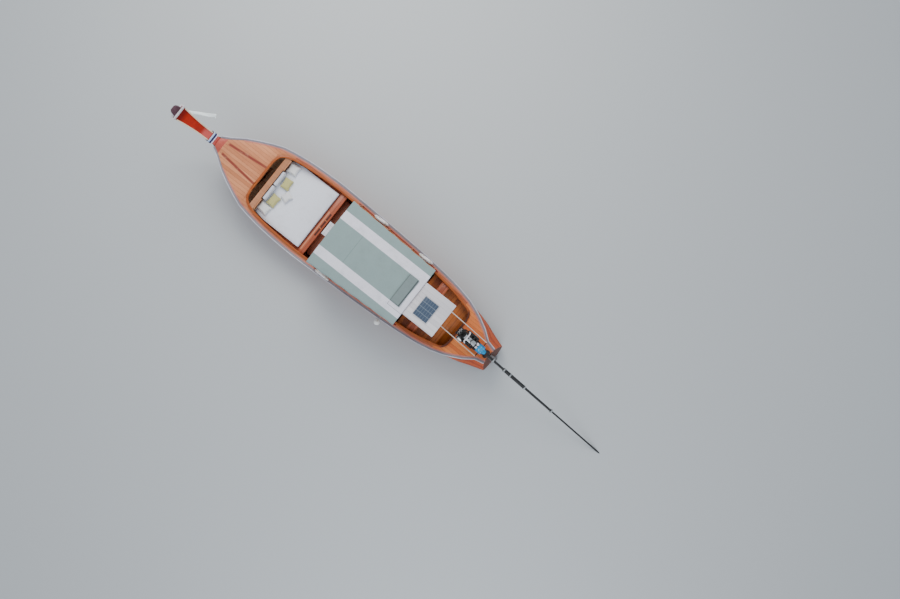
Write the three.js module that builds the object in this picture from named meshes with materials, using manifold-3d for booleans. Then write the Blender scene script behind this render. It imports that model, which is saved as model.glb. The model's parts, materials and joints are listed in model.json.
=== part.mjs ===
// Longtail boat: a planked timber hull with a swept-up prow, a sunbed forward, an awning
// amidships, and an open engine on a swivel that turns a propeller on a long shaft.
// Millimetres. +X points to the bow, +Y to port and +Z up; the origin is amidships on the waterline.
import * as THREE from 'three';
import { mergeVertices } from 'three/addons/utils/BufferGeometryUtils.js';
import Module from 'manifold-3d';

const wasm = await Module();
wasm.setup();

// Gaps and thicknesses
const GAP = 0.3;
const PLANK = 45;
const DECK_PLANK = 30;
const BOARD = 30;
const LAP = 1; // how far boards that make one solid reach into each other
const FAR = 4000;

// Hull stations from the bow aft. Columns: place along the hull, half-beam over the rub rail,
// half-breadth at the coaming, sheer height, half-breadth and height of the bilge corner,
// and height of the rabbet where the planking meets the keel.
const STATION_COLUMNS = ['x', 'rail', 'coaming', 'sheer', 'bilge', 'bilgeZ', 'rabbet'];
const STATIONS = [
  [5780, 215, 100, 1765, 75, 1480, 1290],
  [5430, 435, 190, 1660, 120, 960, 660],
  [5050, 725, 480, 1565, 250, 600, 230],
  [4670, 950, 705, 1470, 430, 380, 10],
  [4280, 1150, 900, 1370, 620, 230, -130],
  [3900, 1320, 1060, 1275, 800, 130, -220],
  [3500, 1410, 1150, 1190, 960, 60, -270],
  [2700, 1520, 1272, 1040, 1170, -10, -310],
  [1450, 1580, 1335, 905, 1320, -40, -320],
  [-270, 1530, 1285, 850, 1360, -40, -320],
  [-2000, 1460, 1215, 850, 1310, -20, -310],
  [-3710, 1320, 1070, 915, 1230, 30, -270],
  [-4570, 1160, 880, 985, 1150, 70, -220],
  [-4990, 1015, 740, 1030, 1090, 90, -190],
  [-5280, 880, 640, 1070, 1050, 110, -160],
  [-5640, 685, 500, 1130, 980, 135, -120],
  [-5990, 420, 300, 1200, 880, 165, -75],
  [-6350, 335, 230, 1275, 740, 200, -20],
  [-6750, 310, 200, 1350, 580, 240, 40],
];

// Hull planking and backbone
const HOLD = { fore: 5430, rise: 1500 };
const KEEL = { half: 55, bottom: -420, fore: 3300, aft: -6600, into: 60, riseFrom: -5000, riseRate: 0.11 };
const FOREFOOT = [
  [3300, -420], [4000, -380], [4600, -190], [5080, 110], [5430, 520], [5660, 880],
  [5850, 1280], [5900, 1640], [5800, 1800], [5300, 1500], [4600, 500], [3300, 0],
];
const RAIL = { fore: 5700, aft: -6330, proud: 55, cap: 28, drop: 70, round: 14, heel: 12, heelRise: 15 };
const TURN_BELOW = 0.42;
const TURN_ABOVE = 0.38;
const SEAM_SHARE = 0.16;
const STERN_TOP = { x: -6310, z: 1290 };
const STERN_FOOT = { x: -6650, z: 0 };
const STERN_CUT = { low: -900, high: 2400, aft: -9000 };
const TRANSOM = { thick: 50, below: 4 };
const STERNPOST = [
  [-6300, 1190], [-6480, 1190], [-6745, 60], [-6690, -300], [-6600, -340], [-6450, -300], [-6450, 0],
];
const STERNPOST_HALF = 95;

// Prow: centreline, width across and thickness, from its root to the tip
const PROW_COLUMNS = ['x', 'z', 'width', 'thick'];
const PROW = [
  [5640, 1500, 240, 230],
  [5830, 1750, 330, 200],
  [6000, 1925, 320, 170],
  [6230, 2170, 310, 150],
  [6480, 2470, 360, 135],
  [6680, 2770, 430, 122],
  [6775, 2950, 480, 115],
  [6830, 3085, 500, 110],
];
const SASH = { from: 5860, to: 5985, proud: 42 };
const BAND = { from: 6795, to: 6830, width: 560, thick: 140 };
const NOSE = [
  [6826, 3075, 350, 104],
  [6868, 3170, 315, 96],
  [6903, 3235, 240, 90],
  [6918, 3262, 140, 84],
];
const STREAMER = { width: 110, thick: 10, slant: 0.3, from: [6660, -200, 2760], to: [5990, -670, 2480] };

// Life rings: place and side; fender, with its outline as shares of its radius
const RING = { radius: 250, tube: 46, foot: 2, beside: 3 };
const RINGS = [['life_ring_port', 100, 1], ['life_ring_fore', -360, -1], ['life_ring_aft', -2440, -1]];
const FENDER = { x: -2440, radius: 115, drop: 20 };
const FENDER_OUTLINE = [
  [0, 0], [0.5, 0.08], [0.88, 0.5], [1, 1], [0.88, 1.5], [0.5, 1.9], [0.22, 2], [0.22, 2.3], [0, 2.3],
];

// Decks, sunbed and cabin
const FOREDECK = { aft: 3920, fore: 5470, camber: 45 };
const BREASTHOOK_FORE = 5690;
const DECK_AFT = -4930;
const DECK_STERN = -6300;
const DECK_INSET = 6;
const SEAM = 0.5; // how far joined pieces of one solid reach into each other
const AFT_CAMBER = 20;
const COAMING = { thick: 36, above: 85, below: 90, foreSill: 1203 };
// Outer edge of the coaming's rounded ends in plan, from where the straight run stops to the cross piece
const COAMING_FORE = [
  [3380, 0], [3500, 1148], [3620, 1105], [3720, 1046], [3800, 975], [3860, 885], [3898, 770], [0, 620],
];
const COAMING_AFT = [
  [-4560, 0], [-4680, 872], [-4780, 822], [-4850, 755], [-4895, 655], [-4915, 540], [0, 430],
];
const HEADBOARD = { fore: 3655, aft: 3465, thick: 30, top: 1262 };
const HEADBOARD_BACK = { fore: 3560, aft: 3530, top: 1252, inset: 60 };
const FRAMES = { thick: 45, deep: 50, clampTop: 100, clampDepth: 60, fore: 1330, aft: -4860 };
const CABIN_FRAMES = [660, 210, -240, -690, -1140, -1590, -2040, -2490, -2900];
const WELL_FRAMES = [-3300, -3740, -4180, -4620];
const SUNBED = { fore: 3500, aft: 1400, top: 780 };
const MATTRESS = { fore: 3490, aft: 1440, top: 940, half: 1215, corner: 90, clear: 12 };
const MATTRESS_ZONE = { fore: 3700, aft: 1000, low: 0, high: 2000 };
const BENCH = { fore: 1400, aft: 1150, top: 880, thick: 40 };
const BENCH_FRONT = { fore: 1370, aft: 1340, low: 700, top: 860, footTop: 790 };
const STEP = { fore: 1330, aft: 870, top: 470, half: 1180 };
const SOLE = { fore: 4250, aft: -3000, top: 100 };
const AFT_SOLE = { fore: -3000, aft: -4900, top: 520 };
const SIDE_BENCH = { fore: 800, aft: -2940, top: 500, inner: 740, front: 25 };
const THWART = { fore: -3400, aft: -3720, top: 890, thick: 45 };

// Awning over the cabin and the small roof aft of it
const ROOF = { fore: 650, aft: -3010, halfFore: 1310, halfAft: 1180, z: 2150, rise: 70, thick: 14 };
const ROOF_CLEAR = { beyond: 100, high: 200 };
const ROOF_POSTS = [520, -780, -1840, -2900];
const HANDRAIL = { above: 470, thick: 40 };
const POST = { width: 50, into: 5, foot: 2, out: 4 };
const ROOF_RAIL = { height: 60, above: 12, width: 50, inset: 60, short: 20 };
const BOWS = { fore: 600, aft: -2960, count: 7, half: 20, depth: 45, ridgeHalf: 25, high: 20 };
const REAR_ROOF = { fore: -3015, aft: -4310, half: 675, top: 2182, thick: 32 };
const BEARER = { y: 585, width: 40, short: 20, into: 20, postX: -4130, postHalf: 18, postInto: 10 };
const PANEL = { fore: -3285, aft: -3865, port: 442, starboard: -307, thick: 38 };
const FOLD = { fore: -2400, aft: -2810, half: 555, thick: 42, wider: 30, lift: 0.4 };
const FRONT_BOARD = { fore: 828, port: 236, starboard: -274, top: 2230, thick: 22 };
const BATTEN = { y: 150, width: 26, short: 40, into: 2 };

// Engine unit, drawn along its own shaft line: x forward and z square to the shaft, from the tilt pin
const PIVOT = { x: -6190, y: 0, z: 1500 };
const REST_SWING = -3.2;
const SHAFT_SLOPE = 15;
const SHAFT_END = -6330;
const TUBE_RADIUS = 45;
const SLEEVE = { fore: -880, aft: -1900, radius: 66 };
const BAND_PLACES = [-330, -880, -1180, -1900, -3300];
const CLAMP = { half: 22, proud: 8 };
const TRUNNION = { radius: 25, half: 158 };
const KINGPIN = { radius: 30, length: 72, into: 10, spare: 6 };
const BEARING = 0.5;
const PEDESTAL = { fore: -6075, aft: -6300, half: 110, low: 1100, shoulder: 60 };
const PEDESTAL_HEAD = { length: 75, half: 95, depth: 70 };
const YOKE = { foot: -101, inner: 120.5, outer: 150, half: 60, thick: 25, arm: 45, into: 5, bore: 200 };
const HANDLE = { half: 310, reach: 1880, drop: -400, tube: 17, past: 12, lift: 2, rootX: 240, rootZ: -106 };
const TAIL = { root: -55, step: -3300, lap: 10, thin: 33, thinStop: 40, bearing: 40, bearingLength: 130 };
// Skeg under the shaft's end, as distances from that end
const SKEG = [[430, -20], [30, -20], [10, -215], [90, -225]];
const SKEG_HALF = 7;
const PROPELLER = { hub: 32, length: 120, blades: 2, bladePlace: 0.45, straight: 0.75, nose: 0.45 };
// Blade sections. Columns: radius, chord, thickness, angle from the shaft in degrees
const BLADE = [[24, 60, 12, 30], [70, 105, 10, 48], [120, 115, 8, 60], [165, 60, 5, 66]];

// Cradle. Boxes: aft and fore, both sides, low and high. The side plates and rails are the port ones
const CRADLE_BOXES = [
  [-55, 70, -100, 100, -48, 50],
  [560, 600, -120, 120, -214, -181],
  [1270, 1310, -120, 120, -214, -181],
];
const CRADLE_RAIL = { aft: 540, fore: 1330, inner: 99, outer: 150, low: -215, high: -180 };
const CRADLE_PLATE = { inner: 99, outer: 117 };
const PLATE_OUTLINE = [
  [-50, -50], [-50, 55], [90, 55], [90, -87], [500, -87], [590, -180], [590, -215], [540, -215],
  [470, -125], [140, -125], [84, -95], [44, -50],
];

// Gearbox: its turned casing, as radius and distance from its after face, and what its sides are cut to
const GEAR_CASE = [[0, 0], [70, 0], [92, 60], [118, 130], [150, 240], [158, 300], [158, 402], [0, 402]];
const GEAR_PLACE = [96, 0, 55];
const GEAR_CUT = [0, 600, -160, 160, -84, 260];
const GEAR_LID = [250, 420, -120, 120, 120, 190];

// Engine. Boxes as for the cradle; outlines of [across, up] with their after and fore ends;
// rods: both ends, radius and sides
const ENGINE_BOXES = [
  [498.5, 568.5, -175, 175, -86, 190],
  [558.5, 1230, -135, 135, -120, 150],
  [600, 1180, -95, 95, 140, 270],
  [1030, 1180, 120, 200, 20, 100],
  [660, 880, -190, -120, -10, 60],
];
const SUMP = [[-150, -179.7], [150, -179.7], [150, -150], [110, -100], [-110, -100], [-150, -150]];
const SUMP_ENDS = [600, 1210];
const ROCKER_COVER = [[-70, 260], [70, 260], [70, 300], [45, 330], [-45, 330], [-70, 300]];
const COVER_ENDS = [620, 1160];
const ENGINE_RODS = [
  [[1225, 0, -40], [1275, 0, -40], 95, 20],
  [[1225, 0, 95], [1270, 0, 95], 62, 16],
  [[1260, 0, 95], [1305, 0, 95], 130, 20],
  [[1020, 195, 60], [1240, 195, 60], 68, 14],
  [[640, -190, 20], [900, -190, 20], 52, 12],
  [[660, -80, 215], [660, -205, 175], 30, 8],
  [[790, -80, 215], [790, -205, 175], 30, 8],
  [[920, -80, 215], [920, -205, 175], 30, 8],
  [[1050, -80, 215], [1050, -205, 175], 30, 8],
  [[630, -205, 175], [1090, -205, 175], 40, 10],
  [[680, 80, 220], [680, 175, 220], 24, 8],
  [[840, 80, 220], [840, 175, 220], 24, 8],
  [[1000, 80, 220], [1000, 175, 220], 24, 8],
  [[650, 180, 220], [1040, 180, 220], 38, 10],
];
const AIR_CLEANER = { place: [790, -10, 330.3], height: 95, radius: 88, sides: 18 };
const EXHAUST = { radius: 24, sides: 10, steps: 18 };
const EXHAUST_LINE = [
  [1060, -205, 216], [1062, -200, 300], [1068, -150, 390], [1072, -60, 425],
  [1072, 60, 425], [1066, 145, 390], [1000, 180, 340], [1000, 180, 259],
];

// Colours
const COLOURS = {
  varnish: 0xc8783c, deck: 0xcda082, prowRed: 0xb92d14, rail: 0xaaafb9, white: 0xe6e6ea,
  cushion: 0xc8cbd5, lime: 0xb8b070, grey: 0x96a5a3, darkWood: 0x5a2a18, oxide: 0x6e2a22,
  steel: 0x8c8f92, black: 0x1c1d1f, blue: 0x2f86b8, bronze: 0x9a7a42, panel: 0x3c4d68, sash: 0x3f6fb0,
  nose: 0x6a4a58,
};

// One material for each finish
function finish(colour, roughness = 0.6, metalness = 0) {
  return new THREE.MeshStandardMaterial({ color: COLOURS[colour], roughness, metalness });
}

// Closed geometry as a solid that can be joined and cut
function solidOf(geometry) {
  const bare = new THREE.BufferGeometry();
  bare.setAttribute('position', geometry.attributes.position.clone());
  if (geometry.index) bare.setIndex(geometry.index.clone());
  const merged = mergeVertices(bare, 1e-3);
  return new wasm.Manifold(new wasm.Mesh({
    numProp: 3,
    vertProperties: new Float32Array(merged.attributes.position.array),
    triVerts: new Uint32Array(merged.index.array),
  }));
}

// A solid as geometry for a mesh
function geometryOf(solid) {
  const mesh = solid.getMesh();
  const geometry = new THREE.BufferGeometry();
  geometry.setAttribute('position', new THREE.BufferAttribute(new Float32Array(mesh.vertProperties), 3));
  geometry.setIndex(new THREE.BufferAttribute(new Uint32Array(mesh.triVerts), 1));
  geometry.computeVertexNormals();
  return geometry;
}

function join(...solids) {
  return solids.reduce((whole, piece) => whole.add(piece));
}

// The triangles that close a ring of points, found in the ring's own plane
function capOf(ring) {
  const points = ring.map((p) => new THREE.Vector3(...p));
  const normal = new THREE.Vector3();
  points.forEach((p, i) => normal.add(new THREE.Vector3().crossVectors(p, points[(i + 1) % points.length])));
  normal.normalize();
  const across = new THREE.Vector3().subVectors(points[1], points[0]).normalize();
  const up = new THREE.Vector3().crossVectors(normal, across);
  const flat = points.map((p) => new THREE.Vector2(p.dot(across), p.dot(up)));
  return THREE.ShapeUtils.triangulateShape(flat, []);
}

// A solid skin through rings of points, closed at both ends or run round into a hoop
function loft(rings, hoop = false) {
  const size = rings[0].length;
  const index = [];
  const spans = hoop ? rings.length : rings.length - 1;
  for (let i = 0; i < spans; i += 1) {
    const next = (i + 1) % rings.length;
    for (let j = 0; j < size; j += 1) {
      const k = (j + 1) % size;
      index.push(i * size + j, i * size + k, next * size + k);
      index.push(i * size + j, next * size + k, next * size + j);
    }
  }
  if (!hoop) {
    const last = (rings.length - 1) * size;
    capOf(rings[0]).forEach(([a, b, c]) => index.push(a, c, b));
    capOf(rings.at(-1)).forEach(([a, b, c]) => index.push(last + a, last + b, last + c));
  }
  const geometry = new THREE.BufferGeometry();
  geometry.setAttribute('position', new THREE.BufferAttribute(new Float32Array(rings.flat(2)), 3));
  geometry.setIndex(index);
  if (volumeOf(geometry) < 0) geometry.setIndex(index.reverse());
  return solidOf(geometry);
}

function volumeOf(geometry) {
  const at = geometry.attributes.position;
  const corners = [0, 1, 2].map(() => new THREE.Vector3());
  let sum = 0;
  for (let i = 0; i < geometry.index.count; i += 3) {
    corners.forEach((corner, n) => corner.fromBufferAttribute(at, geometry.index.getX(i + n)));
    sum += corners[0].dot(new THREE.Vector3().crossVectors(corners[1], corners[2]));
  }
  return sum / 6;
}

// A box between two limits on each axis
function block(x0, x1, y0, y1, z0, z1) {
  const geometry = new THREE.BoxGeometry(x1 - x0, y1 - y0, z1 - z0);
  return solidOf(geometry.translate((x0 + x1) / 2, (y0 + y1) / 2, (z0 + z1) / 2));
}

// A flat outline pushed along one axis: x takes [y, z] points, y takes [x, z] and z takes [x, y]
function slab(points, axis, from, to) {
  const outline = new THREE.Shape(points.map(([a, b]) => new THREE.Vector2(a, b)));
  const geometry = new THREE.ExtrudeGeometry(outline, { depth: to - from, bevelEnabled: false });
  if (axis === 'z') geometry.translate(0, 0, from);
  if (axis === 'y') geometry.rotateX(Math.PI / 2).translate(0, to, 0);
  if (axis === 'x') geometry.rotateX(Math.PI / 2).rotateZ(Math.PI / 2).translate(from, 0, 0);
  return solidOf(geometry);
}

// A round bar between two points, with its own radius at each end
function rod(from, to, radius, sides = 12, endRadius = radius) {
  const start = new THREE.Vector3(...from);
  const along = new THREE.Vector3(...to).sub(start);
  const geometry = new THREE.CylinderGeometry(endRadius, radius, along.length(), sides);
  geometry.translate(0, along.length() / 2, 0);
  const turn = new THREE.Quaternion().setFromUnitVectors(new THREE.Vector3(0, 1, 0), along.normalize());
  geometry.applyQuaternion(turn);
  return solidOf(geometry.translate(start.x, start.y, start.z));
}

// A solid of revolution about an axis through a point; the profile is [radius, along] pairs
function turned(profile, place, axis, sides = 16) {
  const geometry = new THREE.LatheGeometry(profile.map(([r, h]) => new THREE.Vector2(r, h)), sides);
  const turn = new THREE.Quaternion().setFromUnitVectors(
    new THREE.Vector3(0, 1, 0),
    new THREE.Vector3(...axis).normalize(),
  );
  geometry.applyQuaternion(turn).translate(...place);
  return solidOf(geometry);
}

// Smooth station values, sampled once on a grid so that every piece shares the same facets
function slopes(rows, column) {
  return rows.map((row, i) => {
    const before = rows[Math.max(i - 1, 0)];
    const after = rows[Math.min(i + 1, rows.length - 1)];
    return (after[column] - before[column]) / (after.x - before.x);
  });
}

function smoothRow(rows, columns, x) {
  const i = Math.max(0, rows.findIndex((row, n) => n < rows.length - 1 && x >= rows[n + 1].x));
  const [a, b] = [rows[i], rows[i + 1]];
  const t = (x - a.x) / (b.x - a.x);
  const span = b.x - a.x;
  return Object.fromEntries(columns.map((column) => {
    if (column === 'x') return [column, x];
    const rate = slopes(rows, column);
    const value = (2 * t ** 3 - 3 * t ** 2 + 1) * a[column] + (t ** 3 - 2 * t ** 2 + t) * span * rate[i]
      + (3 * t ** 2 - 2 * t ** 3) * b[column] + (t ** 3 - t ** 2) * span * rate[i + 1];
    return [column, value];
  }));
}

const named = (columns) => (row) => Object.fromEntries(columns.map((name, i) => [name, row[i]]));
const stationRows = STATIONS.map(named(STATION_COLUMNS));
const GRID = stationRows.flatMap((row, i) => {
  const next = stationRows[i + 1];
  if (!next) return [row.x];
  return row.x - next.x > 700 ? [row.x, (2 * row.x + next.x) / 3, (row.x + 2 * next.x) / 3] : [row.x];
});
const gridRows = GRID.map((x) => smoothRow(stationRows, STATION_COLUMNS, x));

// The hull's values at any place, straight between the grid's rows
function at(x) {
  const found = gridRows.findIndex((row, n) => n < gridRows.length - 1 && x >= gridRows[n + 1].x);
  const i = found < 0 ? gridRows.length - 2 : found;
  const [a, b] = [gridRows[i], gridRows[i + 1]];
  const t = (x - a.x) / (b.x - a.x);
  return Object.fromEntries(STATION_COLUMNS.map((name) => [name, a[name] + t * (b[name] - a[name])]));
}

// The grid's places between two limits, with the limits themselves
function places(fore, aft) {
  return [fore, ...GRID.filter((x) => x < fore - 1 && x > aft + 1), aft];
}

// A solid along the hull from its section, a ring of [y, z] points at each place
function along(fore, aft, section) {
  return loft(places(fore, aft).map((x) => section(at(x)).map(([y, z]) => [x, y, z])));
}

const plankHalf = (s) => s.rail - RAIL.proud;
const seamZ = (s) => s.bilgeZ + SEAM_SHARE * (s.sheer - s.bilgeZ);

// Half of the hull's section from the keel out to the sheer, moved inwards by a distance
function halfSection(s, inset) {
  const heel = new THREE.Vector2(KEEL.half, s.rabbet);
  const corner = new THREE.Vector2(s.bilge, s.bilgeZ);
  const top = new THREE.Vector2(plankHalf(s), s.sheer);
  const low = corner.clone().lerp(heel, TURN_BELOW);
  const high = corner.clone().lerp(top, TURN_ABOVE);
  const turn = new THREE.QuadraticBezierCurve(low, corner, high).getPoints(4);
  const line = [new THREE.Vector2(0, s.rabbet), heel, ...turn, top];
  const runs = line.slice(1).map((p, i) => p.clone().sub(line[i]).normalize());
  return line.map((p, i) => {
    const before = runs[Math.max(i - 1, 0)];
    const after = runs[Math.min(i, runs.length - 1)];
    const mean = before.clone().add(after).normalize();
    const reach = inset / mean.dot(after);
    return [Math.max(0, p.x - mean.y * reach), p.y + mean.x * reach];
  });
}

// The whole hull's inside or outside as one solid; rise carries it up past the sheer
function hullBody(fore, aft, inset, rise = 0) {
  return along(fore, aft, (s) => {
    const port = halfSection(s, inset);
    const [topY, topZ] = port.at(-1);
    if (rise) port.push([topY, topZ + rise]);
    const starboard = port.slice(1).reverse().map(([y, z]) => [-y, z]);
    return [...port, ...starboard];
  });
}

const [HULL_FORE, HULL_AFT] = [GRID[0], GRID.at(-1)];
const outside = hullBody(HULL_FORE, HULL_AFT, 0);
const outsideLid = hullBody(HULL_FORE, HULL_AFT, -GAP, GAP);
const outsideClear = outsideLid.add(outsideLid.translate(GAP, 0, 0));
const hold = hullBody(HOLD.fore, HULL_AFT, PLANK, HOLD.rise);
const holdClear = hullBody(HOLD.fore, HULL_AFT, PLANK + GAP, HOLD.rise);

// Everything aft of a line that leans like the stern, moved along the hull by a distance
function aftOf(shift) {
  const rake = (STERN_TOP.x - STERN_FOOT.x) / (STERN_TOP.z - STERN_FOOT.z);
  const line = (z) => STERN_FOOT.x + (z - STERN_FOOT.z) * rake + shift;
  const { low, high, aft } = STERN_CUT;
  return slab([[line(low), low], [line(high), high], [aft, high], [aft, low]], 'y', -FAR, FAR);
}

function below(shift) {
  return along(HULL_FORE, HULL_AFT, (s) => {
    const z = seamZ(s) + shift;
    return [[-FAR, -FAR], [FAR, -FAR], [FAR, z], [-FAR, z]];
  });
}

const shell = outside.subtract(hold).subtract(aftOf(0));
const sides = shell.subtract(below(GAP / 2));
const group = new THREE.Group();

function add(name, solid, colour, roughness, metalness, parent = group) {
  const mesh = new THREE.Mesh(geometryOf(solid), finish(colour, roughness, metalness));
  mesh.name = name;
  parent.add(mesh);
  return mesh;
}

// Planking
add('bottom_planking', shell.intersect(below(-GAP / 2)), 'oxide');
const [portHalf, starboardHalf] = [[GAP / 2, FAR], [-FAR, -GAP / 2]].map(
  (limits) => block(-FAR * 2, FAR * 2, ...limits, -FAR, FAR),
);
add('side_planking_port', sides.intersect(portHalf), 'varnish');
add('side_planking_starboard', sides.intersect(starboardHalf), 'varnish');

// Keel and stem, cut back from the planking
const keelDepth = along(KEEL.fore - GAP, KEEL.aft, (s) => {
  const foot = KEEL.bottom + Math.max(0, (KEEL.riseFrom - s.x) * KEEL.riseRate);
  const top = s.rabbet + KEEL.into;
  return [[-KEEL.half, foot], [KEEL.half, foot], [KEEL.half, top], [-KEEL.half, top]];
});
add('keel', keelDepth.subtract(outsideClear), 'oxide');

const prowRows = PROW.map(named(PROW_COLUMNS));

// Four corners across a leaning post at one row of its table
function postRing(row, ahead, proud = 0) {
  const run = new THREE.Vector2(ahead.x - row.x, ahead.z - row.z).normalize();
  const half = row.width / 2 + proud;
  const depth = row.thick / 2 + proud;
  const corner = (y, n) => [row.x - run.y * n, y, row.z + run.x * n];
  return [corner(-half, -depth), corner(half, -depth), corner(half, depth), corner(-half, depth)];
}

function leaningPost(rows, proud = 0) {
  return loft(rows.map((row, i) => {
    const [from, to] = [rows[Math.max(i - 1, 0)], rows[Math.min(i + 1, rows.length - 1)]];
    const ahead = { x: row.x + to.x - from.x, z: row.z + to.z - from.z };
    return postRing(row, ahead, proud);
  }));
}

const forefoot = slab(FOREFOOT, 'y', -KEEL.half, KEEL.half);
const prow = leaningPost(prowRows);
add('stem_and_prow', join(forefoot, prow).subtract(outsideClear), 'prowRed', 0.45);

// Cloth wound round the neck, the white band and the nose at the tip
function prowRow(x) {
  const i = Math.max(0, prowRows.findIndex((row, n) => n < prowRows.length - 1 && x <= prowRows[n + 1].x));
  const [a, b] = [prowRows[i], prowRows[i + 1]];
  const t = (x - a.x) / (b.x - a.x);
  return Object.fromEntries(PROW_COLUMNS.map((name) => [name, a[name] + t * (b[name] - a[name])]));
}
const prowClear = leaningPost(prowRows, GAP);
const sashRows = [SASH.from, (SASH.from + SASH.to) / 2, SASH.to].map(prowRow);
const footSteps = [[GAP, 0, GAP], [-GAP, 0, -GAP], [0, GAP, 0], [0, -GAP, 0]];
const footClear = join(...footSteps.map((step) => forefoot.translate(...step)));
const sash = leaningPost(sashRows, SASH.proud).subtract(prowClear).subtract(footClear).subtract(outsideClear);
add('neck_sash', sash, 'sash', 0.9);
const bandRows = [BAND.from, BAND.to].map((x) => ({ ...prowRow(x), width: BAND.width, thick: BAND.thick }));
add('prow_band', leaningPost(bandRows).subtract(prowClear), 'white', 0.8);
const noseRows = NOSE.map(named(PROW_COLUMNS));
const tipClear = join(prowClear, prowClear.translate(GAP * 0.4, 0, GAP), leaningPost(bandRows, GAP));
add('prow_nose', leaningPost(noseRows).subtract(tipClear), 'nose', 0.5);

// Decks
function deckRing(half, z, camber, bottom = z) {
  const across = [-1, -0.6, 0, 0.6, 1];
  const top = across.map((t) => [t * half, z + DECK_PLANK + camber * (1 - t * t)]);
  return [[-half, bottom], [half, bottom], ...top.reverse()];
}
const deckHalf = (s) => plankHalf(s) - PLANK - GAP - DECK_INSET;
const deckZ = (s) => s.sheer + GAP;
const coamingOuter = (s) => s.coaming + COAMING.thick / 2;
const foredeckRing = (s) => deckRing(deckHalf(s), deckZ(s), FOREDECK.camber);
const breasthook = along(BREASTHOOK_FORE, FOREDECK.fore + GAP, foredeckRing);
add('breasthook', breasthook.subtract(prowClear), 'deck');

// What lies inside the coaming's ends in plan: both rounded corners, moved inwards by a distance
function coamingEnd(corners, endX, inset) {
  const inward = Math.sign(corners[0][0]) * inset;
  const port = corners.map(([x, y], i) => {
    if (i === 0) return [x, coamingOuter(at(x)) - inset];
    if (i === corners.length - 1) return [endX - inward, y - inset / 2];
    const [a, b] = [corners[i - 1], corners[i + 1]];
    const ahead = [i === corners.length - 2 ? endX : b[0], b[1]];
    const behind = [a[0], i === 1 ? coamingOuter(at(a[0])) : a[1]];
    const run = Math.hypot(ahead[0] - behind[0], ahead[1] - behind[1]);
    return [
      x - (Math.abs(ahead[1] - behind[1]) / run) * inward,
      y - (Math.abs(ahead[0] - behind[0]) / run) * inset,
    ];
  });
  return slab([...port, ...port.map(([x, y]) => [x, -y]).reverse()], 'z', -FAR, FAR);
}
const [FORE_STOP, AFT_STOP] = [COAMING_FORE[0][0], COAMING_AFT[0][0]];
const foreEnd = (inset) => coamingEnd(COAMING_FORE, FOREDECK.aft - GAP, inset);
const aftEnd = (inset) => coamingEnd(COAMING_AFT, DECK_AFT - GAP - SEAM, inset);
function coamingRing(end, fore, aft, low) {
  const rise = along(fore, aft, (s) => {
    const top = s.sheer + COAMING.above;
    return [[-FAR, low(s)], [FAR, low(s)], [FAR, top], [-FAR, top]];
  });
  return end(0).subtract(end(COAMING.thick)).intersect(rise);
}
const ringFoot = (s) => s.sheer - COAMING.below;
const foreRingFoot = (s) => Math.max(ringFoot(s), COAMING.foreSill);
const foreRing = coamingRing(foreEnd, FOREDECK.aft, FORE_STOP, foreRingFoot);
const aftRing = coamingRing(aftEnd, AFT_STOP, DECK_AFT - LAP, ringFoot);

// Decks at both ends, with the boards beside the coaming's ends, and the coaming's aft end with the aft deck
const endBoards = (fore, aft) => along(fore, aft, (s) => {
  const [low, high] = [deckZ(s), deckZ(s) + DECK_PLANK];
  return [[-deckHalf(s), low], [deckHalf(s), low], [deckHalf(s), high], [-deckHalf(s), high]];
});
add('foredeck', join(
  along(FOREDECK.fore, FOREDECK.aft, foredeckRing),
  endBoards(FOREDECK.aft + SEAM, FORE_STOP).subtract(foreEnd(-GAP)),
), 'deck');
add('aft_deck', join(
  along(DECK_AFT - GAP, DECK_STERN, (s) => deckRing(deckHalf(s), deckZ(s), AFT_CAMBER)).subtract(aftOf(0)),
  endBoards(AFT_STOP, DECK_AFT - GAP - SEAM).subtract(aftEnd(SEAM)),
  aftRing,
), 'varnish');

// Side decks, rub rails and the coaming's straight sides
function sideDeck(side) {
  return along(FORE_STOP - GAP, AFT_STOP + GAP, (s) => {
    const [inner, outer] = [side * (coamingOuter(s) + GAP), side * deckHalf(s)];
    const [low, high] = [deckZ(s), deckZ(s) + DECK_PLANK];
    return [[inner, low], [outer, low], [outer, high], [inner, high]];
  });
}
function rubRail(side) {
  return along(RAIL.fore, RAIL.aft, (s) => {
    const [inner, out] = [plankHalf(s) - PLANK, s.rail];
    const [low, high] = [s.sheer - RAIL.drop, s.sheer + RAIL.cap];
    return [
      [inner, low], [out - RAIL.heel, low], [out, low + RAIL.heelRise],
      [out, high - RAIL.round], [out - RAIL.round, high], [inner, high],
    ].map(([y, z]) => [side * y, z]);
  }).subtract(prowClear).subtract(outsideClear);
}
function coamingSide(side) {
  return along(FORE_STOP - GAP, AFT_STOP + GAP, (s) => {
    const [inner, outer] = [side * (s.coaming - COAMING.thick / 2), side * coamingOuter(s)];
    const [low, high] = [s.sheer - COAMING.below, s.sheer + COAMING.above];
    return [[inner, low], [outer, low], [outer, high], [inner, high]];
  });
}
for (const [name, side] of [['port', 1], ['starboard', -1]]) {
  add(`side_deck_${name}`, sideDeck(side), 'varnish');
  add(`rub_rail_${name}`, rubRail(side), 'rail');
  add(`coaming_${name}`, coamingSide(side), 'varnish');
}

// Transom, sternpost and the pedestal that carries the engine's swivel
const transomSlab = aftOf(TRANSOM.thick).subtract(aftOf(0));
const transomTop = at(STERN_TOP.x + TRANSOM.thick).sheer - TRANSOM.below;
const transom = transomSlab.intersect(holdClear).intersect(block(-FAR * 2, 0, -FAR, FAR, -FAR, transomTop));
add('transom', transom, 'varnish');
const post = slab(STERNPOST, 'y', -STERNPOST_HALF, STERNPOST_HALF);
add('sternpost', post.subtract(outsideClear.subtract(aftOf(0))).intersect(aftOf(-GAP)), 'steel');

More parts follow.
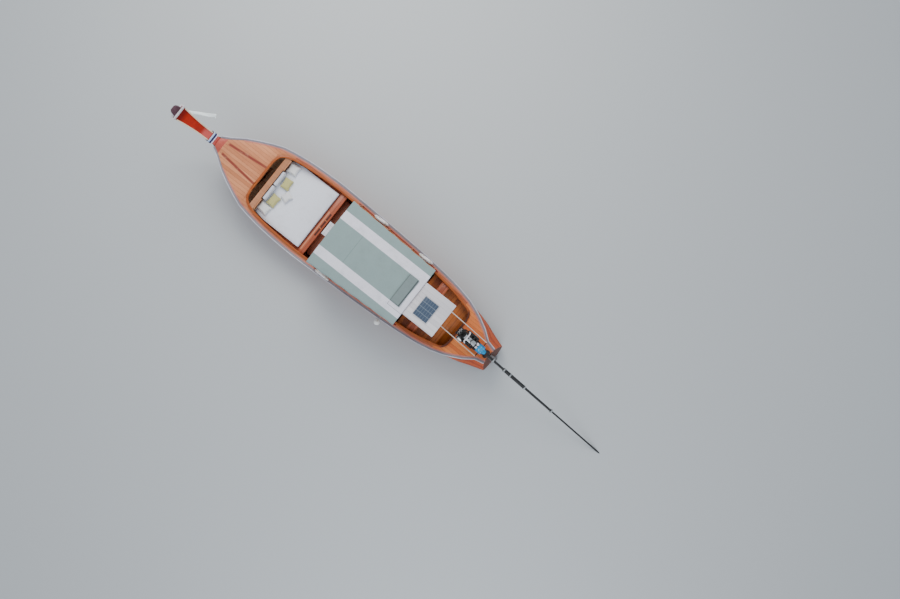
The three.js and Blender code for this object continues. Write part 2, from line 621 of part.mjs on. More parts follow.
// Sole, sunbed, bench, step and side benches, clipped to the inside of the planking
const openHold = holdClear.subtract(aftOf(TRANSOM.thick + GAP));
const clip = (solid) => solid.intersect(openHold);
add('cabin_sole', clip(block(SOLE.aft, SOLE.fore, -FAR, FAR, SOLE.top - BOARD, SOLE.top)), 'deck');
add('aft_sole', clip(join(
  block(AFT_SOLE.aft, AFT_SOLE.fore, -FAR, FAR, AFT_SOLE.top - BOARD, AFT_SOLE.top),
  block(AFT_SOLE.fore - BOARD, AFT_SOLE.fore, -FAR, FAR, SOLE.top + GAP - BOARD, AFT_SOLE.top - LAP),
)), 'varnish');
add('sunbed_platform', clip(join(
  block(SUNBED.aft, SUNBED.fore, -FAR, FAR, SUNBED.top - BOARD, SUNBED.top),
  block(SUNBED.aft, SUNBED.aft + BOARD, -FAR, FAR, SOLE.top + GAP, SUNBED.top - LAP),
)), 'varnish');
const coamingFace = (s, gap) => s.coaming - COAMING.thick / 2 - gap;
function betweenCoamings(fore, aft, low, high, gap) {
  return along(fore, aft, (s) => {
    const half = coamingFace(s, gap);
    return [[-half, low], [half, low], [half, high], [-half, high]];
  });
}
add('companion_bench', join(
  betweenCoamings(BENCH.fore - LAP, BENCH.aft, BENCH.top - BENCH.thick, BENCH.top, GAP),
  betweenCoamings(BENCH_FRONT.fore, BENCH_FRONT.aft, BENCH_FRONT.low, BENCH_FRONT.top, GAP),
  clip(block(BENCH_FRONT.aft, BENCH_FRONT.fore, -FAR, FAR, SOLE.top + GAP, BENCH_FRONT.footTop)),
), 'varnish');
add('step', clip(join(
  block(STEP.aft, STEP.fore, -STEP.half, STEP.half, STEP.top - BOARD, STEP.top),
  block(STEP.aft, STEP.aft + BOARD, -STEP.half, STEP.half, SOLE.top + GAP, STEP.top - LAP),
)), 'darkWood');
const { fore: backFore, aft: backAft, top: backTop, inset: backInset } = HEADBOARD_BACK;
add('headboard', join(
  betweenCoamings(HEADBOARD.fore, HEADBOARD.aft, HEADBOARD.top - HEADBOARD.thick, HEADBOARD.top, GAP),
  betweenCoamings(backFore, backAft, SUNBED.top + GAP, backTop, backInset),
).intersect(foreEnd(COAMING.thick - SEAM)).add(foreRing), 'varnish');
for (const [name, side] of [['port', 1], ['starboard', -1]]) {
  const [y0, y1] = side > 0 ? [SIDE_BENCH.inner, FAR] : [-FAR, -SIDE_BENCH.inner];
  const [p0, p1] = side > 0 ? [y0, y0 + SIDE_BENCH.front] : [y1 - SIDE_BENCH.front, y1];
  add(`side_bench_${name}`, clip(join(
    block(SIDE_BENCH.aft, SIDE_BENCH.fore, y0, y1, SIDE_BENCH.top - BOARD, SIDE_BENCH.top),
    block(SIDE_BENCH.aft, SIDE_BENCH.fore, p0, p1, SOLE.top + GAP, SIDE_BENCH.top - LAP),
  )), 'varnish');
}

// Frames inside the planking, with a clamp under the deck that joins them
const frameZone = (low, fore, aft) => along(fore, aft, (s) => {
  const top = s.sheer - FRAMES.clampTop;
  return [[-FAR, low], [FAR, low], [FAR, top], [-FAR, top]];
});
const clampZone = along(FRAMES.fore, FRAMES.aft, (s) => {
  const [low, high] = [s.sheer - FRAMES.clampTop - FRAMES.clampDepth, s.sheer - FRAMES.clampTop];
  return [[-FAR, low], [FAR, low], [FAR, high], [-FAR, high]];
});
const frameInside = along(FRAMES.fore + FRAMES.deep, FRAMES.aft - FRAMES.deep, (s) => {
  const port = halfSection(s, PLANK + FRAMES.deep).slice(2);
  port.push([port.at(-1)[0], FAR]);
  return [...port, ...port.map(([y, z]) => [-y, z]).reverse()];
});
const lining = holdClear.subtract(frameInside);
const frameCuts = (xs) => xs.map((x) => block(x - FRAMES.thick / 2, x + FRAMES.thick / 2, -FAR, FAR, 0, FAR));
const framing = join(
  clampZone,
  join(...frameCuts(CABIN_FRAMES)).intersect(frameZone(SIDE_BENCH.top + GAP, SIDE_BENCH.fore, AFT_SOLE.fore)),
  join(...frameCuts(WELL_FRAMES)).intersect(frameZone(AFT_SOLE.top + GAP, AFT_SOLE.fore, AFT_SOLE.aft)),
).intersect(lining);
add('frames_port', framing.intersect(portHalf), 'varnish');
add('frames_starboard', framing.intersect(starboardHalf), 'varnish');
const thwart = betweenCoamings(THWART.fore, THWART.aft, THWART.top - THWART.thick, THWART.top, GAP);
add('aft_thwart', thwart, 'deck');

// Mattress and cushions
function softBox(x0, x1, y0, y1, z0, z1, edge) {
  const outline = new THREE.Shape();
  const [w, d] = [(x1 - x0) / 2 - edge, (y1 - y0) / 2 - edge];
  outline.moveTo(-w, -d);
  [[w, -d], [w, d], [-w, d], [-w, -d]].forEach(([x, y]) => outline.lineTo(x, y));
  const height = z1 - z0;
  const bevel = Math.min(edge, height * 0.35);
  const geometry = new THREE.ExtrudeGeometry(outline, {
    depth: height - 2 * bevel, bevelThickness: bevel, bevelSize: edge, bevelSegments: 3,
  });
  return geometry.translate((x0 + x1) / 2, (y0 + y1) / 2, z0 + bevel);
}
const mattressBlank = solidOf(softBox(
  MATTRESS.aft, MATTRESS.fore, -MATTRESS.half, MATTRESS.half, SUNBED.top + GAP, MATTRESS.top, MATTRESS.corner,
));
const { fore: zoneFore, aft: zoneAft, low: zoneLow, high: zoneHigh } = MATTRESS_ZONE;
const mattressZone = betweenCoamings(zoneFore, zoneAft, zoneLow, zoneHigh, MATTRESS.clear);
add('mattress', mattressBlank.intersect(mattressZone), 'cushion', 0.95);

// Loose cushions. Columns: name, place forward, place to port, length fore and aft, width,
// thickness, backward lean in degrees, turn about the upright, colour
const CUSHIONS = [
  ['back_cushion_starboard', 3400, -320, 130, 600, 330, 0, 0, 'cushion'],
  ['back_cushion_port', 3400, 300, 130, 600, 330, 0, 0, 'cushion'],
  ['corner_pillow_starboard', 3262, -885, 400, 380, 150, 0, 4, 'white'],
  ['corner_pillow_port', 3240, 845, 420, 340, 150, 0, -6, 'white'],
  ['lime_pillow_starboard', 3120, -330, 330, 400, 150, 0, 5, 'lime'],
  ['lime_pillow_port', 3130, 430, 330, 430, 150, 0, -4, 'lime'],
  ['centre_pillow', 2835, 42, 310, 340, 140, 0, -20, 'white'],
];
for (const [name, x, y, length, width, height, lean, turn, colour] of CUSHIONS) {
  const edge = Math.min(length, width, height) * 0.42;
  const geometry = softBox(-length / 2, length / 2, -width / 2, width / 2, 0, height, edge);
  geometry.rotateY(THREE.MathUtils.degToRad(lean)).rotateZ(THREE.MathUtils.degToRad(turn));
  add(name, solidOf(geometry.translate(x, y, MATTRESS.top + GAP)), colour, 0.95);
}

// Awning: posts with a side rail on each side, bows joined by a ridge, and the cambered roof
const roofHalf = (x) => THREE.MathUtils.mapLinear(x, ROOF.fore, ROOF.aft, ROOF.halfFore, ROOF.halfAft);
const roofCurve = (share) => ROOF.z + ROOF.rise * (1 - share * share);
const SHARES = [-1, -0.8, -0.55, -0.28, 0, 0.28, 0.55, 0.8, 1];
function arched(x0, x1, low, high, halfAt) {
  return loft([x0, x1].map((x) => {
    const half = halfAt(x);
    const top = SHARES.map((t) => [x, t * half, roofCurve(t) + high]);
    const bottom = SHARES.map((t) => [x, t * half, roofCurve(t) + low]).reverse();
    return [...top, ...bottom];
  }));
}
add('roof_canopy', arched(ROOF.fore, ROOF.aft, 0, ROOF.thick, roofHalf), 'grey', 0.8);
const canopyClear = arched(
  ROOF.fore + ROOF_CLEAR.beyond,
  ROOF.aft - ROOF_CLEAR.beyond,
  -GAP,
  ROOF_CLEAR.high,
  roofHalf,
);
const railHalf = (x) => roofHalf(x) - ROOF_RAIL.inset;
const footHalf = (x) => (coamingOuter(at(x)) + deckHalf(at(x))) / 2 + POST.out;
const deckTop = (x) => at(x).sheer + DECK_PLANK;
const leanHalf = (x, z) => THREE.MathUtils.mapLinear(z, deckTop(x), ROOF.z, footHalf(x), railHalf(x));
function handrailHalf(x) {
  const last = ROOF_POSTS.length - 1;
  const i = Math.max(0, ROOF_POSTS.findIndex((post, n) => n < last && x >= ROOF_POSTS[n + 1]));
  const [a, b] = [ROOF_POSTS[i], ROOF_POSTS[i + 1]];
  const half = (post) => leanHalf(post, at(post).sheer + HANDRAIL.above);
  return THREE.MathUtils.mapLinear(x, a, b, half(a), half(b));
}
const bowHalf = (x) => railHalf(x) - ROOF_RAIL.width / 2 - 2 * GAP;
const bowStep = (BOWS.aft - BOWS.fore) / (BOWS.count - 1);
const BOW_PLACES = Array.from({ length: BOWS.count }, (_, i) => BOWS.fore + i * bowStep);
const bows = BOW_PLACES.map((x) => arched(x + BOWS.half, x - BOWS.half, -BOWS.depth, BOWS.high, bowHalf));
const crown = ROOF.z + ROOF.rise;
const ridge = block(BOWS.aft, BOWS.fore, -BOWS.ridgeHalf, BOWS.ridgeHalf, crown - BOWS.depth, crown);
add('roof_bows', join(ridge, ...bows).subtract(canopyClear), 'varnish');
const { port: boardPort, starboard: boardStarboard, top: boardTop } = FRONT_BOARD;
const boardLow = boardTop - FRONT_BOARD.thick;
const battens = [1, -1].map((side) => {
  const [y0, y1] = [side * BATTEN.y - BATTEN.width / 2, side * BATTEN.y + BATTEN.width / 2];
  const [x0, x1] = [BOWS.fore + BOWS.half + GAP, FRONT_BOARD.fore - BATTEN.short];
  return block(x0, x1, y0, y1, boardLow - BATTEN.width, boardLow + BATTEN.into);
});
add('roof_front_board', join(
  block(ROOF.fore + GAP, FRONT_BOARD.fore, boardStarboard, boardPort, boardLow, boardTop),
  ...battens,
).subtract(canopyClear), 'white');
const roofFrames = {};
for (const [name, side] of [['port', 1], ['starboard', -1]]) {
  const [low, high] = [ROOF.z - ROOF_RAIL.height, ROOF.z + ROOF_RAIL.above];
  const rail = loft([ROOF.fore - ROOF_RAIL.short, ROOF.aft + ROOF_RAIL.short].map((x) => {
    const y = side * railHalf(x);
    const [y0, y1] = [y - ROOF_RAIL.width / 2, y + ROOF_RAIL.width / 2];
    return [[x, y0, low], [x, y1, low], [x, y1, high], [x, y0, high]];
  }));
  const square = (x, y, z, half) => [
    [x - half, side * y - half, z], [x + half, side * y - half, z],
    [x + half, side * y + half, z], [x - half, side * y + half, z],
  ];
  const posts = ROOF_POSTS.map((x) => {
    const foot = deckTop(x) + 2 * GAP + POST.foot;
    const half = POST.width / 2;
    return loft([square(x, footHalf(x), foot, half), square(x, railHalf(x), ROOF.z - POST.into, half)]);
  });
  const handrail = loft(ROOF_POSTS.map((x) => {
    const z = at(x).sheer + HANDRAIL.above;
    const y = side * leanHalf(x, z);
    const h = HANDRAIL.thick / 2;
    return [[x, y - h, z - h], [x, y + h, z - h], [x, y + h, z + h], [x, y - h, z + h]];
  }));
  roofFrames[side] = join(rail, handrail, ...posts).subtract(canopyClear);
  add(`roof_frame_${name}`, roofFrames[side], 'varnish');
}
const rearUnder = REAR_ROOF.top - REAR_ROOF.thick;
const bearerBox = (side) => {
  const [y, half] = [side * BEARER.y, BEARER.width / 2];
  const [x0, x1] = [REAR_ROOF.aft + BEARER.short, BOWS.aft + BEARER.short];
  return block(x0, x1, y - half, y + half, rearUnder - BEARER.width, rearUnder + BEARER.into);
};
const rearPost = (side) => {
  const [x, y, half] = [BEARER.postX, side * BEARER.y, BEARER.postHalf];
  return block(x - half, x + half, y - half, y + half, AFT_SOLE.top + GAP, rearUnder - BEARER.postInto);
};
const bowsClear = arched(ROOF.fore, ROOF.aft + 2, -BOWS.depth - GAP, ROOF_CLEAR.high, bowHalf);
add('rear_roof', join(
  block(REAR_ROOF.aft, REAR_ROOF.fore, -REAR_ROOF.half, REAR_ROOF.half, rearUnder, REAR_ROOF.top),
  ...[1, -1].map((side) => bearerBox(side).subtract(bowsClear)),
  ...[1, -1].map((side) => rearPost(side)),
), 'white');
const panelZ = REAR_ROOF.top + GAP;
const panel = block(PANEL.aft, PANEL.fore, PANEL.starboard, PANEL.port, panelZ, panelZ + PANEL.thick);
add('solar_panel', panel, 'panel', 0.2);
const foldHalf = () => ROOF.halfAft + FOLD.wider;
const foldLow = ROOF.thick + GAP + FOLD.lift;
const fold = arched(FOLD.fore, FOLD.aft, foldLow, foldLow + FOLD.thick, foldHalf);
add('folded_canvas', fold.intersect(block(-FAR, FAR, -FOLD.half, FOLD.half, 0, FAR)), 'grey', 0.9);

// Moves a solid across the boat until it lies the fitting gap from what carries it
function seated(solid, carrier, direction) {
  let placed = solid;
  for (let i = 0; i < 10; i += 1) {
    placed = placed.translate(0, direction * (placed.minGap(carrier, 50) - GAP), 0);
  }
  return placed;
}

// Life rings lashed outside the handrails, and the fender at the port rail
for (const [name, x, side] of RINGS) {
  const s = at(x);
  const z = s.sheer + DECK_PLANK + RING.foot + RING.radius + RING.tube;
  const lean = Math.atan2(footHalf(x) - railHalf(x), ROOF.z - s.sheer - DECK_PLANK);
  const reach = RING.radius + RING.tube;
  const beside = Math.max(...[x - reach, x, x + reach].map(handrailHalf)) + HANDRAIL.thick / 2;
  const rise = s.sheer + HANDRAIL.above - z;
  const y = beside + (RING.tube + RING.beside) / Math.cos(lean) + Math.tan(lean) * rise;
  const ring = new THREE.TorusGeometry(RING.radius, RING.tube, 8, 20);
  ring.rotateX(Math.PI / 2 + side * lean).translate(x, side * y, z);
  const carriers = join(roofFrames[side], rubRail(side), sideDeck(side));
  add(name, seated(solidOf(ring), carriers, -side), 'white', 0.7);
}
const fenderBase = at(FENDER.x).sheer - FENDER.drop - FENDER.radius;
const fenderProfile = FENDER_OUTLINE.map(([r, h]) => [r * FENDER.radius, h * FENDER.radius]);
const fenderY = at(FENDER.x).rail + FENDER.radius + 2 * GAP;
add('fender', turned(fenderProfile, [FENDER.x, fenderY, fenderBase], [0, 0, 1]), 'white', 0.5);

// Streamer blown from the nose
const [streamFrom, streamTo] = [STREAMER.from, STREAMER.to];
const [halfWide, halfThick] = [STREAMER.width / 2, STREAMER.thick / 2];
const slant = halfWide * STREAMER.slant;
add('streamer', loft([streamFrom, streamTo].map(([x, y, z]) => [
  [x - slant, y - halfThick, z - halfWide], [x - slant, y + halfThick, z - halfWide],
  [x + slant, y + halfThick, z + halfWide], [x + slant, y - halfThick, z + halfWide],
])).subtract(prowClear), 'white', 0.95);

// Pedestal on the aft deck, with the swivel's socket
const pedestalTop = PIVOT.z + YOKE.foot - BEARING;
const aftDeckClear = along(DECK_AFT, RAIL.aft, (s) => deckRing(deckHalf(s), deckZ(s) + GAP, AFT_CAMBER, 500));
const [legHalf, head] = [PEDESTAL.half, PEDESTAL_HEAD];
const legTop = pedestalTop - PEDESTAL.shoulder;
const [headAft, headFore] = [PIVOT.x - head.length, PIVOT.x + head.length];
const pedestal = join(
  block(PEDESTAL.aft, PEDESTAL.fore, -legHalf, legHalf, PEDESTAL.low, legTop),
  block(headAft, headFore, -head.half, head.half, pedestalTop - head.depth, pedestalTop),
);
const socketFoot = [PIVOT.x, 0, pedestalTop - KINGPIN.length - KINGPIN.spare];
const socketTop = [PIVOT.x, 0, pedestalTop + KINGPIN.into];
const socket = rod(socketFoot, socketTop, KINGPIN.radius + BEARING, 24);
add('engine_pedestal', pedestal.subtract(socket).subtract(aftDeckClear).subtract(aftOf(0)), 'steel', 0.5);

// Groups that carry the moving pieces: the swing about the kingpin, then the tilt about the trunnions
const swing = new THREE.Group();
swing.position.set(PIVOT.x, PIVOT.y, PIVOT.z);
swing.rotation.z = THREE.MathUtils.degToRad(REST_SWING);
const tilt = new THREE.Group();
tilt.rotation.y = -THREE.MathUtils.degToRad(SHAFT_SLOPE);
swing.add(tilt);
group.add(swing);

// Swivel: a kingpin under a fork, with a bore for the trunnions through both arms
const mirrored = (make) => [make(1), make(-1)];
const between = (a, b) => (a < b ? [a, b] : [b, a]);
const fork = join(
  rod([0, 0, YOKE.foot - KINGPIN.length], [0, 0, YOKE.foot + KINGPIN.into], KINGPIN.radius, 24),
  block(-YOKE.half, YOKE.half, -YOKE.outer, YOKE.outer, YOKE.foot, YOKE.foot + YOKE.thick),
  ...mirrored((side) => join(
    block(-YOKE.arm, YOKE.arm, ...between(side * YOKE.inner, side * YOKE.outer), YOKE.foot + YOKE.into, 0),
    rod([0, side * YOKE.inner, 0], [0, side * YOKE.outer, 0], YOKE.arm, 16),
  )),
);
const forkBore = rod([0, -YOKE.bore, 0], [0, YOKE.bore, 0], TRUNNION.radius + BEARING, 24);
add('swivel_yoke', fork.subtract(forkBore), 'steel', 0.5, 0.6, swing);

// Cradle: trunnion block, side plates, engine rails and the helmsman's handle
const [trunnionBlock, ...crossBars] = CRADLE_BOXES.map((limits) => block(...limits));
const crossTube = (x, z) => rod([x, -HANDLE.half, z], [x, HANDLE.half, z], HANDLE.tube, 8);
const cradle = join(
  trunnionBlock,
  rod([0, -TRUNNION.half, 0], [0, TRUNNION.half, 0], TRUNNION.radius, 24),
  ...mirrored((side) => {
    const sides = between(side * CRADLE_PLATE.inner, side * CRADLE_PLATE.outer);
    return slab(PLATE_OUTLINE, 'y', ...sides);
  }),
  ...mirrored((side) => {
    const [y0, y1] = between(side * CRADLE_RAIL.inner, side * CRADLE_RAIL.outer);
    return block(CRADLE_RAIL.aft, CRADLE_RAIL.fore, y0, y1, CRADLE_RAIL.low, CRADLE_RAIL.high);
  }),
  ...crossBars,
  crossTube(HANDLE.rootX, HANDLE.rootZ),
  crossTube(HANDLE.reach, HANDLE.drop),
  ...mirrored((side) => rod(
    [HANDLE.rootX - HANDLE.past, side * HANDLE.half, HANDLE.rootZ + HANDLE.lift],
    [HANDLE.reach + HANDLE.past, side * HANDLE.half, HANDLE.drop - HANDLE.lift],
    HANDLE.tube,
    8,
  )),
);
add('engine_cradle', cradle, 'steel', 0.5, 0.5, tilt);

// Gearbox ahead of the trunnions, in blue, and the engine on its rails
const gearbox = join(
  turned(GEAR_CASE, GEAR_PLACE, [1, 0, 0], 12).intersect(block(...GEAR_CUT)),
  block(...GEAR_LID),
);
add('gearbox', gearbox, 'blue', 0.5, 0.2, tilt);
const engine = join(
  ...ENGINE_BOXES.map((limits) => block(...limits)),
  slab(SUMP, 'x', ...SUMP_ENDS),
  slab(ROCKER_COVER, 'x', ...COVER_ENDS),
  ...ENGINE_RODS.map((bar) => rod(...bar)),
);
add('engine_block', engine, 'black', 0.5, 0.4, tilt);
const airCleaner = rod([0, 0, 0], [0, 0, AIR_CLEANER.height], AIR_CLEANER.radius, AIR_CLEANER.sides);
add('air_cleaner', airCleaner.translate(...AIR_CLEANER.place), 'steel', 0.4, 0.5, tilt);
const arch = new THREE.CatmullRomCurve3(EXHAUST_LINE.map((q) => new THREE.Vector3(...q)));
const archSection = new THREE.Shape(Array.from({ length: EXHAUST.sides }, (_, i) => {
  const angle = (i * 2 * Math.PI) / EXHAUST.sides;
  return new THREE.Vector2(EXHAUST.radius * Math.cos(angle), EXHAUST.radius * Math.sin(angle));
}));
const archGeometry = new THREE.ExtrudeGeometry(archSection, {
  steps: EXHAUST.steps, extrudePath: arch, bevelEnabled: false,
});
add('exhaust_pipe', solidOf(archGeometry), 'white', 0.4, 0.3, tilt);

// Tail: the shaft's tube with its sleeve, clamp bands, end bearing and skeg
const onShaft = (from, to, radius) => rod([from, 0, 0], [to, 0, 0], radius, 12);
const tail = join(
  onShaft(TAIL.root - GAP, TAIL.step, TUBE_RADIUS),
  onShaft(TAIL.step + TAIL.lap, SHAFT_END + TAIL.thinStop, TAIL.thin),
  onShaft(SHAFT_END + TAIL.bearingLength, SHAFT_END, TAIL.bearing),
  onShaft(SLEEVE.fore, SLEEVE.aft, SLEEVE.radius),
  ...BAND_PLACES.map((x) => onShaft(x + CLAMP.half, x - CLAMP.half, SLEEVE.radius + CLAMP.proud)),
  slab(SKEG.map(([x, z]) => [SHAFT_END + x, z]), 'y', -SKEG_HALF, SKEG_HALF),
);
add('tail_tube', tail, 'black', 0.5, 0.3, tilt);

// Propeller: a hub and blades whose sections turn from root to tip
const spin = new THREE.Group();
spin.position.set(SHAFT_END - BEARING, 0, 0);
tilt.add(spin);
function blade(turn) {
  const rings = BLADE.map(([radius, chord, thick, angle]) => {
    const a = THREE.MathUtils.degToRad(angle);
    const [dx, dy] = [Math.cos(a), Math.sin(a)];
    const middle = -PROPELLER.length * PROPELLER.bladePlace;
    const corner = (c, t) => [middle + c * dx - t * dy, c * dy + t * dx, radius];
    return [corner(-chord / 2, 0), corner(-chord / 6, -thick / 2), corner(chord / 3, -thick / 3),
      corner(chord / 2, 0), corner(chord / 3, thick / 3), corner(-chord / 6, thick / 2)];
  });
  return loft(rings).rotate([turn, 0, 0]);
}
const { hub: hubRadius, length: hubLength, straight, nose } = PROPELLER;
const hub = turned([
  [0, 0], [hubRadius, 0], [hubRadius, hubLength * straight], [hubRadius * nose, hubLength], [0, hubLength],
], [0, 0, 0], [-1, 0, 0], 16);
const blades = Array.from({ length: PROPELLER.blades }, (_, i) => blade((i * 360) / PROPELLER.blades));
add('propeller', join(hub, ...blades), 'bronze', 0.3, 0.9, spin);

export default group;
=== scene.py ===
"""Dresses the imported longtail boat: timber, paint, cloth, rope and the open engine.

Everything is in metres in the model's own axes: +X to the bow, +Y to port and +Z up, with
the waterline at z = 0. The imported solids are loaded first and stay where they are. Those
whose shape is right get a finish or a copy with eased edges, and the soft or detailed ones
are stood for by a piece made here.
"""

from __future__ import annotations

import json
import logging
import math
from collections.abc import Callable, Iterator, Sequence
from contextlib import contextmanager
from dataclasses import dataclass, field
from enum import Enum

import bpy
from mathutils import Matrix, Vector

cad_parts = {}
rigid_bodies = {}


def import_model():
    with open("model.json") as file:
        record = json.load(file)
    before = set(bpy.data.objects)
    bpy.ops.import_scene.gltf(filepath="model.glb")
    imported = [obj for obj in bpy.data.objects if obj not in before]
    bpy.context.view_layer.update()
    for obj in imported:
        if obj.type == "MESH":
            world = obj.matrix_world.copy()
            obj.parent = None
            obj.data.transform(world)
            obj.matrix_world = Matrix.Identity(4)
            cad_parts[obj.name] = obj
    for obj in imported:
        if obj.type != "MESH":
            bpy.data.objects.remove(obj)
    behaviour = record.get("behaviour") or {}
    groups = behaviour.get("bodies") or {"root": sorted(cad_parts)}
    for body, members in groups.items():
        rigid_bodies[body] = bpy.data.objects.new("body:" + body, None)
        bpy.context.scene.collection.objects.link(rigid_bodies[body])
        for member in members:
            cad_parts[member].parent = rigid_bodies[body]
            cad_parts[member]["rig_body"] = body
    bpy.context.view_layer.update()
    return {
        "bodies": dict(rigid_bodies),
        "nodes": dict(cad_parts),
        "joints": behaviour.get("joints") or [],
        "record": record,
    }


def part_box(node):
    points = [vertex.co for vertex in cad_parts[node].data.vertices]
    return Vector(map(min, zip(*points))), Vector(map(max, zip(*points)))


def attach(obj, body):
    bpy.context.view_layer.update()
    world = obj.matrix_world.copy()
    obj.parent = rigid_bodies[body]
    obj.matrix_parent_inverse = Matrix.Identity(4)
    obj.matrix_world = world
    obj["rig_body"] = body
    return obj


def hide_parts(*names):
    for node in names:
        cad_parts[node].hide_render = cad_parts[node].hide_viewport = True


log = logging.getLogger("longtail_boat")

Colour = tuple[int, int, int]
Point = tuple[float, float, float]
Limits = tuple[float, float]
Thing = bpy.types.Object
Socket = bpy.types.NodeSocket
Rule = Callable[[Vector, Vector], bool]

SAME_PLACE = 1e-6  # corners nearer than this are one
AHEAD, ACROSS, UPWARD = (1, 0, 0), (0, 1, 0), (0, 0, 1)


class Side(Enum):
    """The two sides of the boat, with the sign that each has in Y."""

    PORT = 1
    STARBOARD = -1

    @property
    def word(self) -> str:
        """The side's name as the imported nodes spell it."""
        return self.name.lower()


class Axis(Enum):
    """The level axes, in the order that Separate XYZ gives them."""

    ALONG = 0
    ACROSS = 1


class Coords(Enum):
    """Where a finish takes its pattern's place from."""

    OBJECT = "Object"
    UV = "UV"


def linear(colour: Colour) -> tuple[float, float, float, float]:
    """Turns a screen colour into Blender's linear one.

    Args:
        colour: Red, green and blue from 0 to 255.

    Returns:
        The linear colour with alpha 1.
    """
    shares = [c / 255 for c in colour]
    bent = [s / 12.92 if s <= 0.04045 else ((s + 0.055) / 1.055) ** 2.4 for s in shares]
    return (bent[0], bent[1], bent[2], 1.0)


def at(*place: float) -> Matrix:
    """A shift to a place."""
    return Matrix.Translation(place)


def turn(degrees: float, axis: str) -> Matrix:
    """A turn about one axis."""
    return Matrix.Rotation(math.radians(degrees), 4, axis)


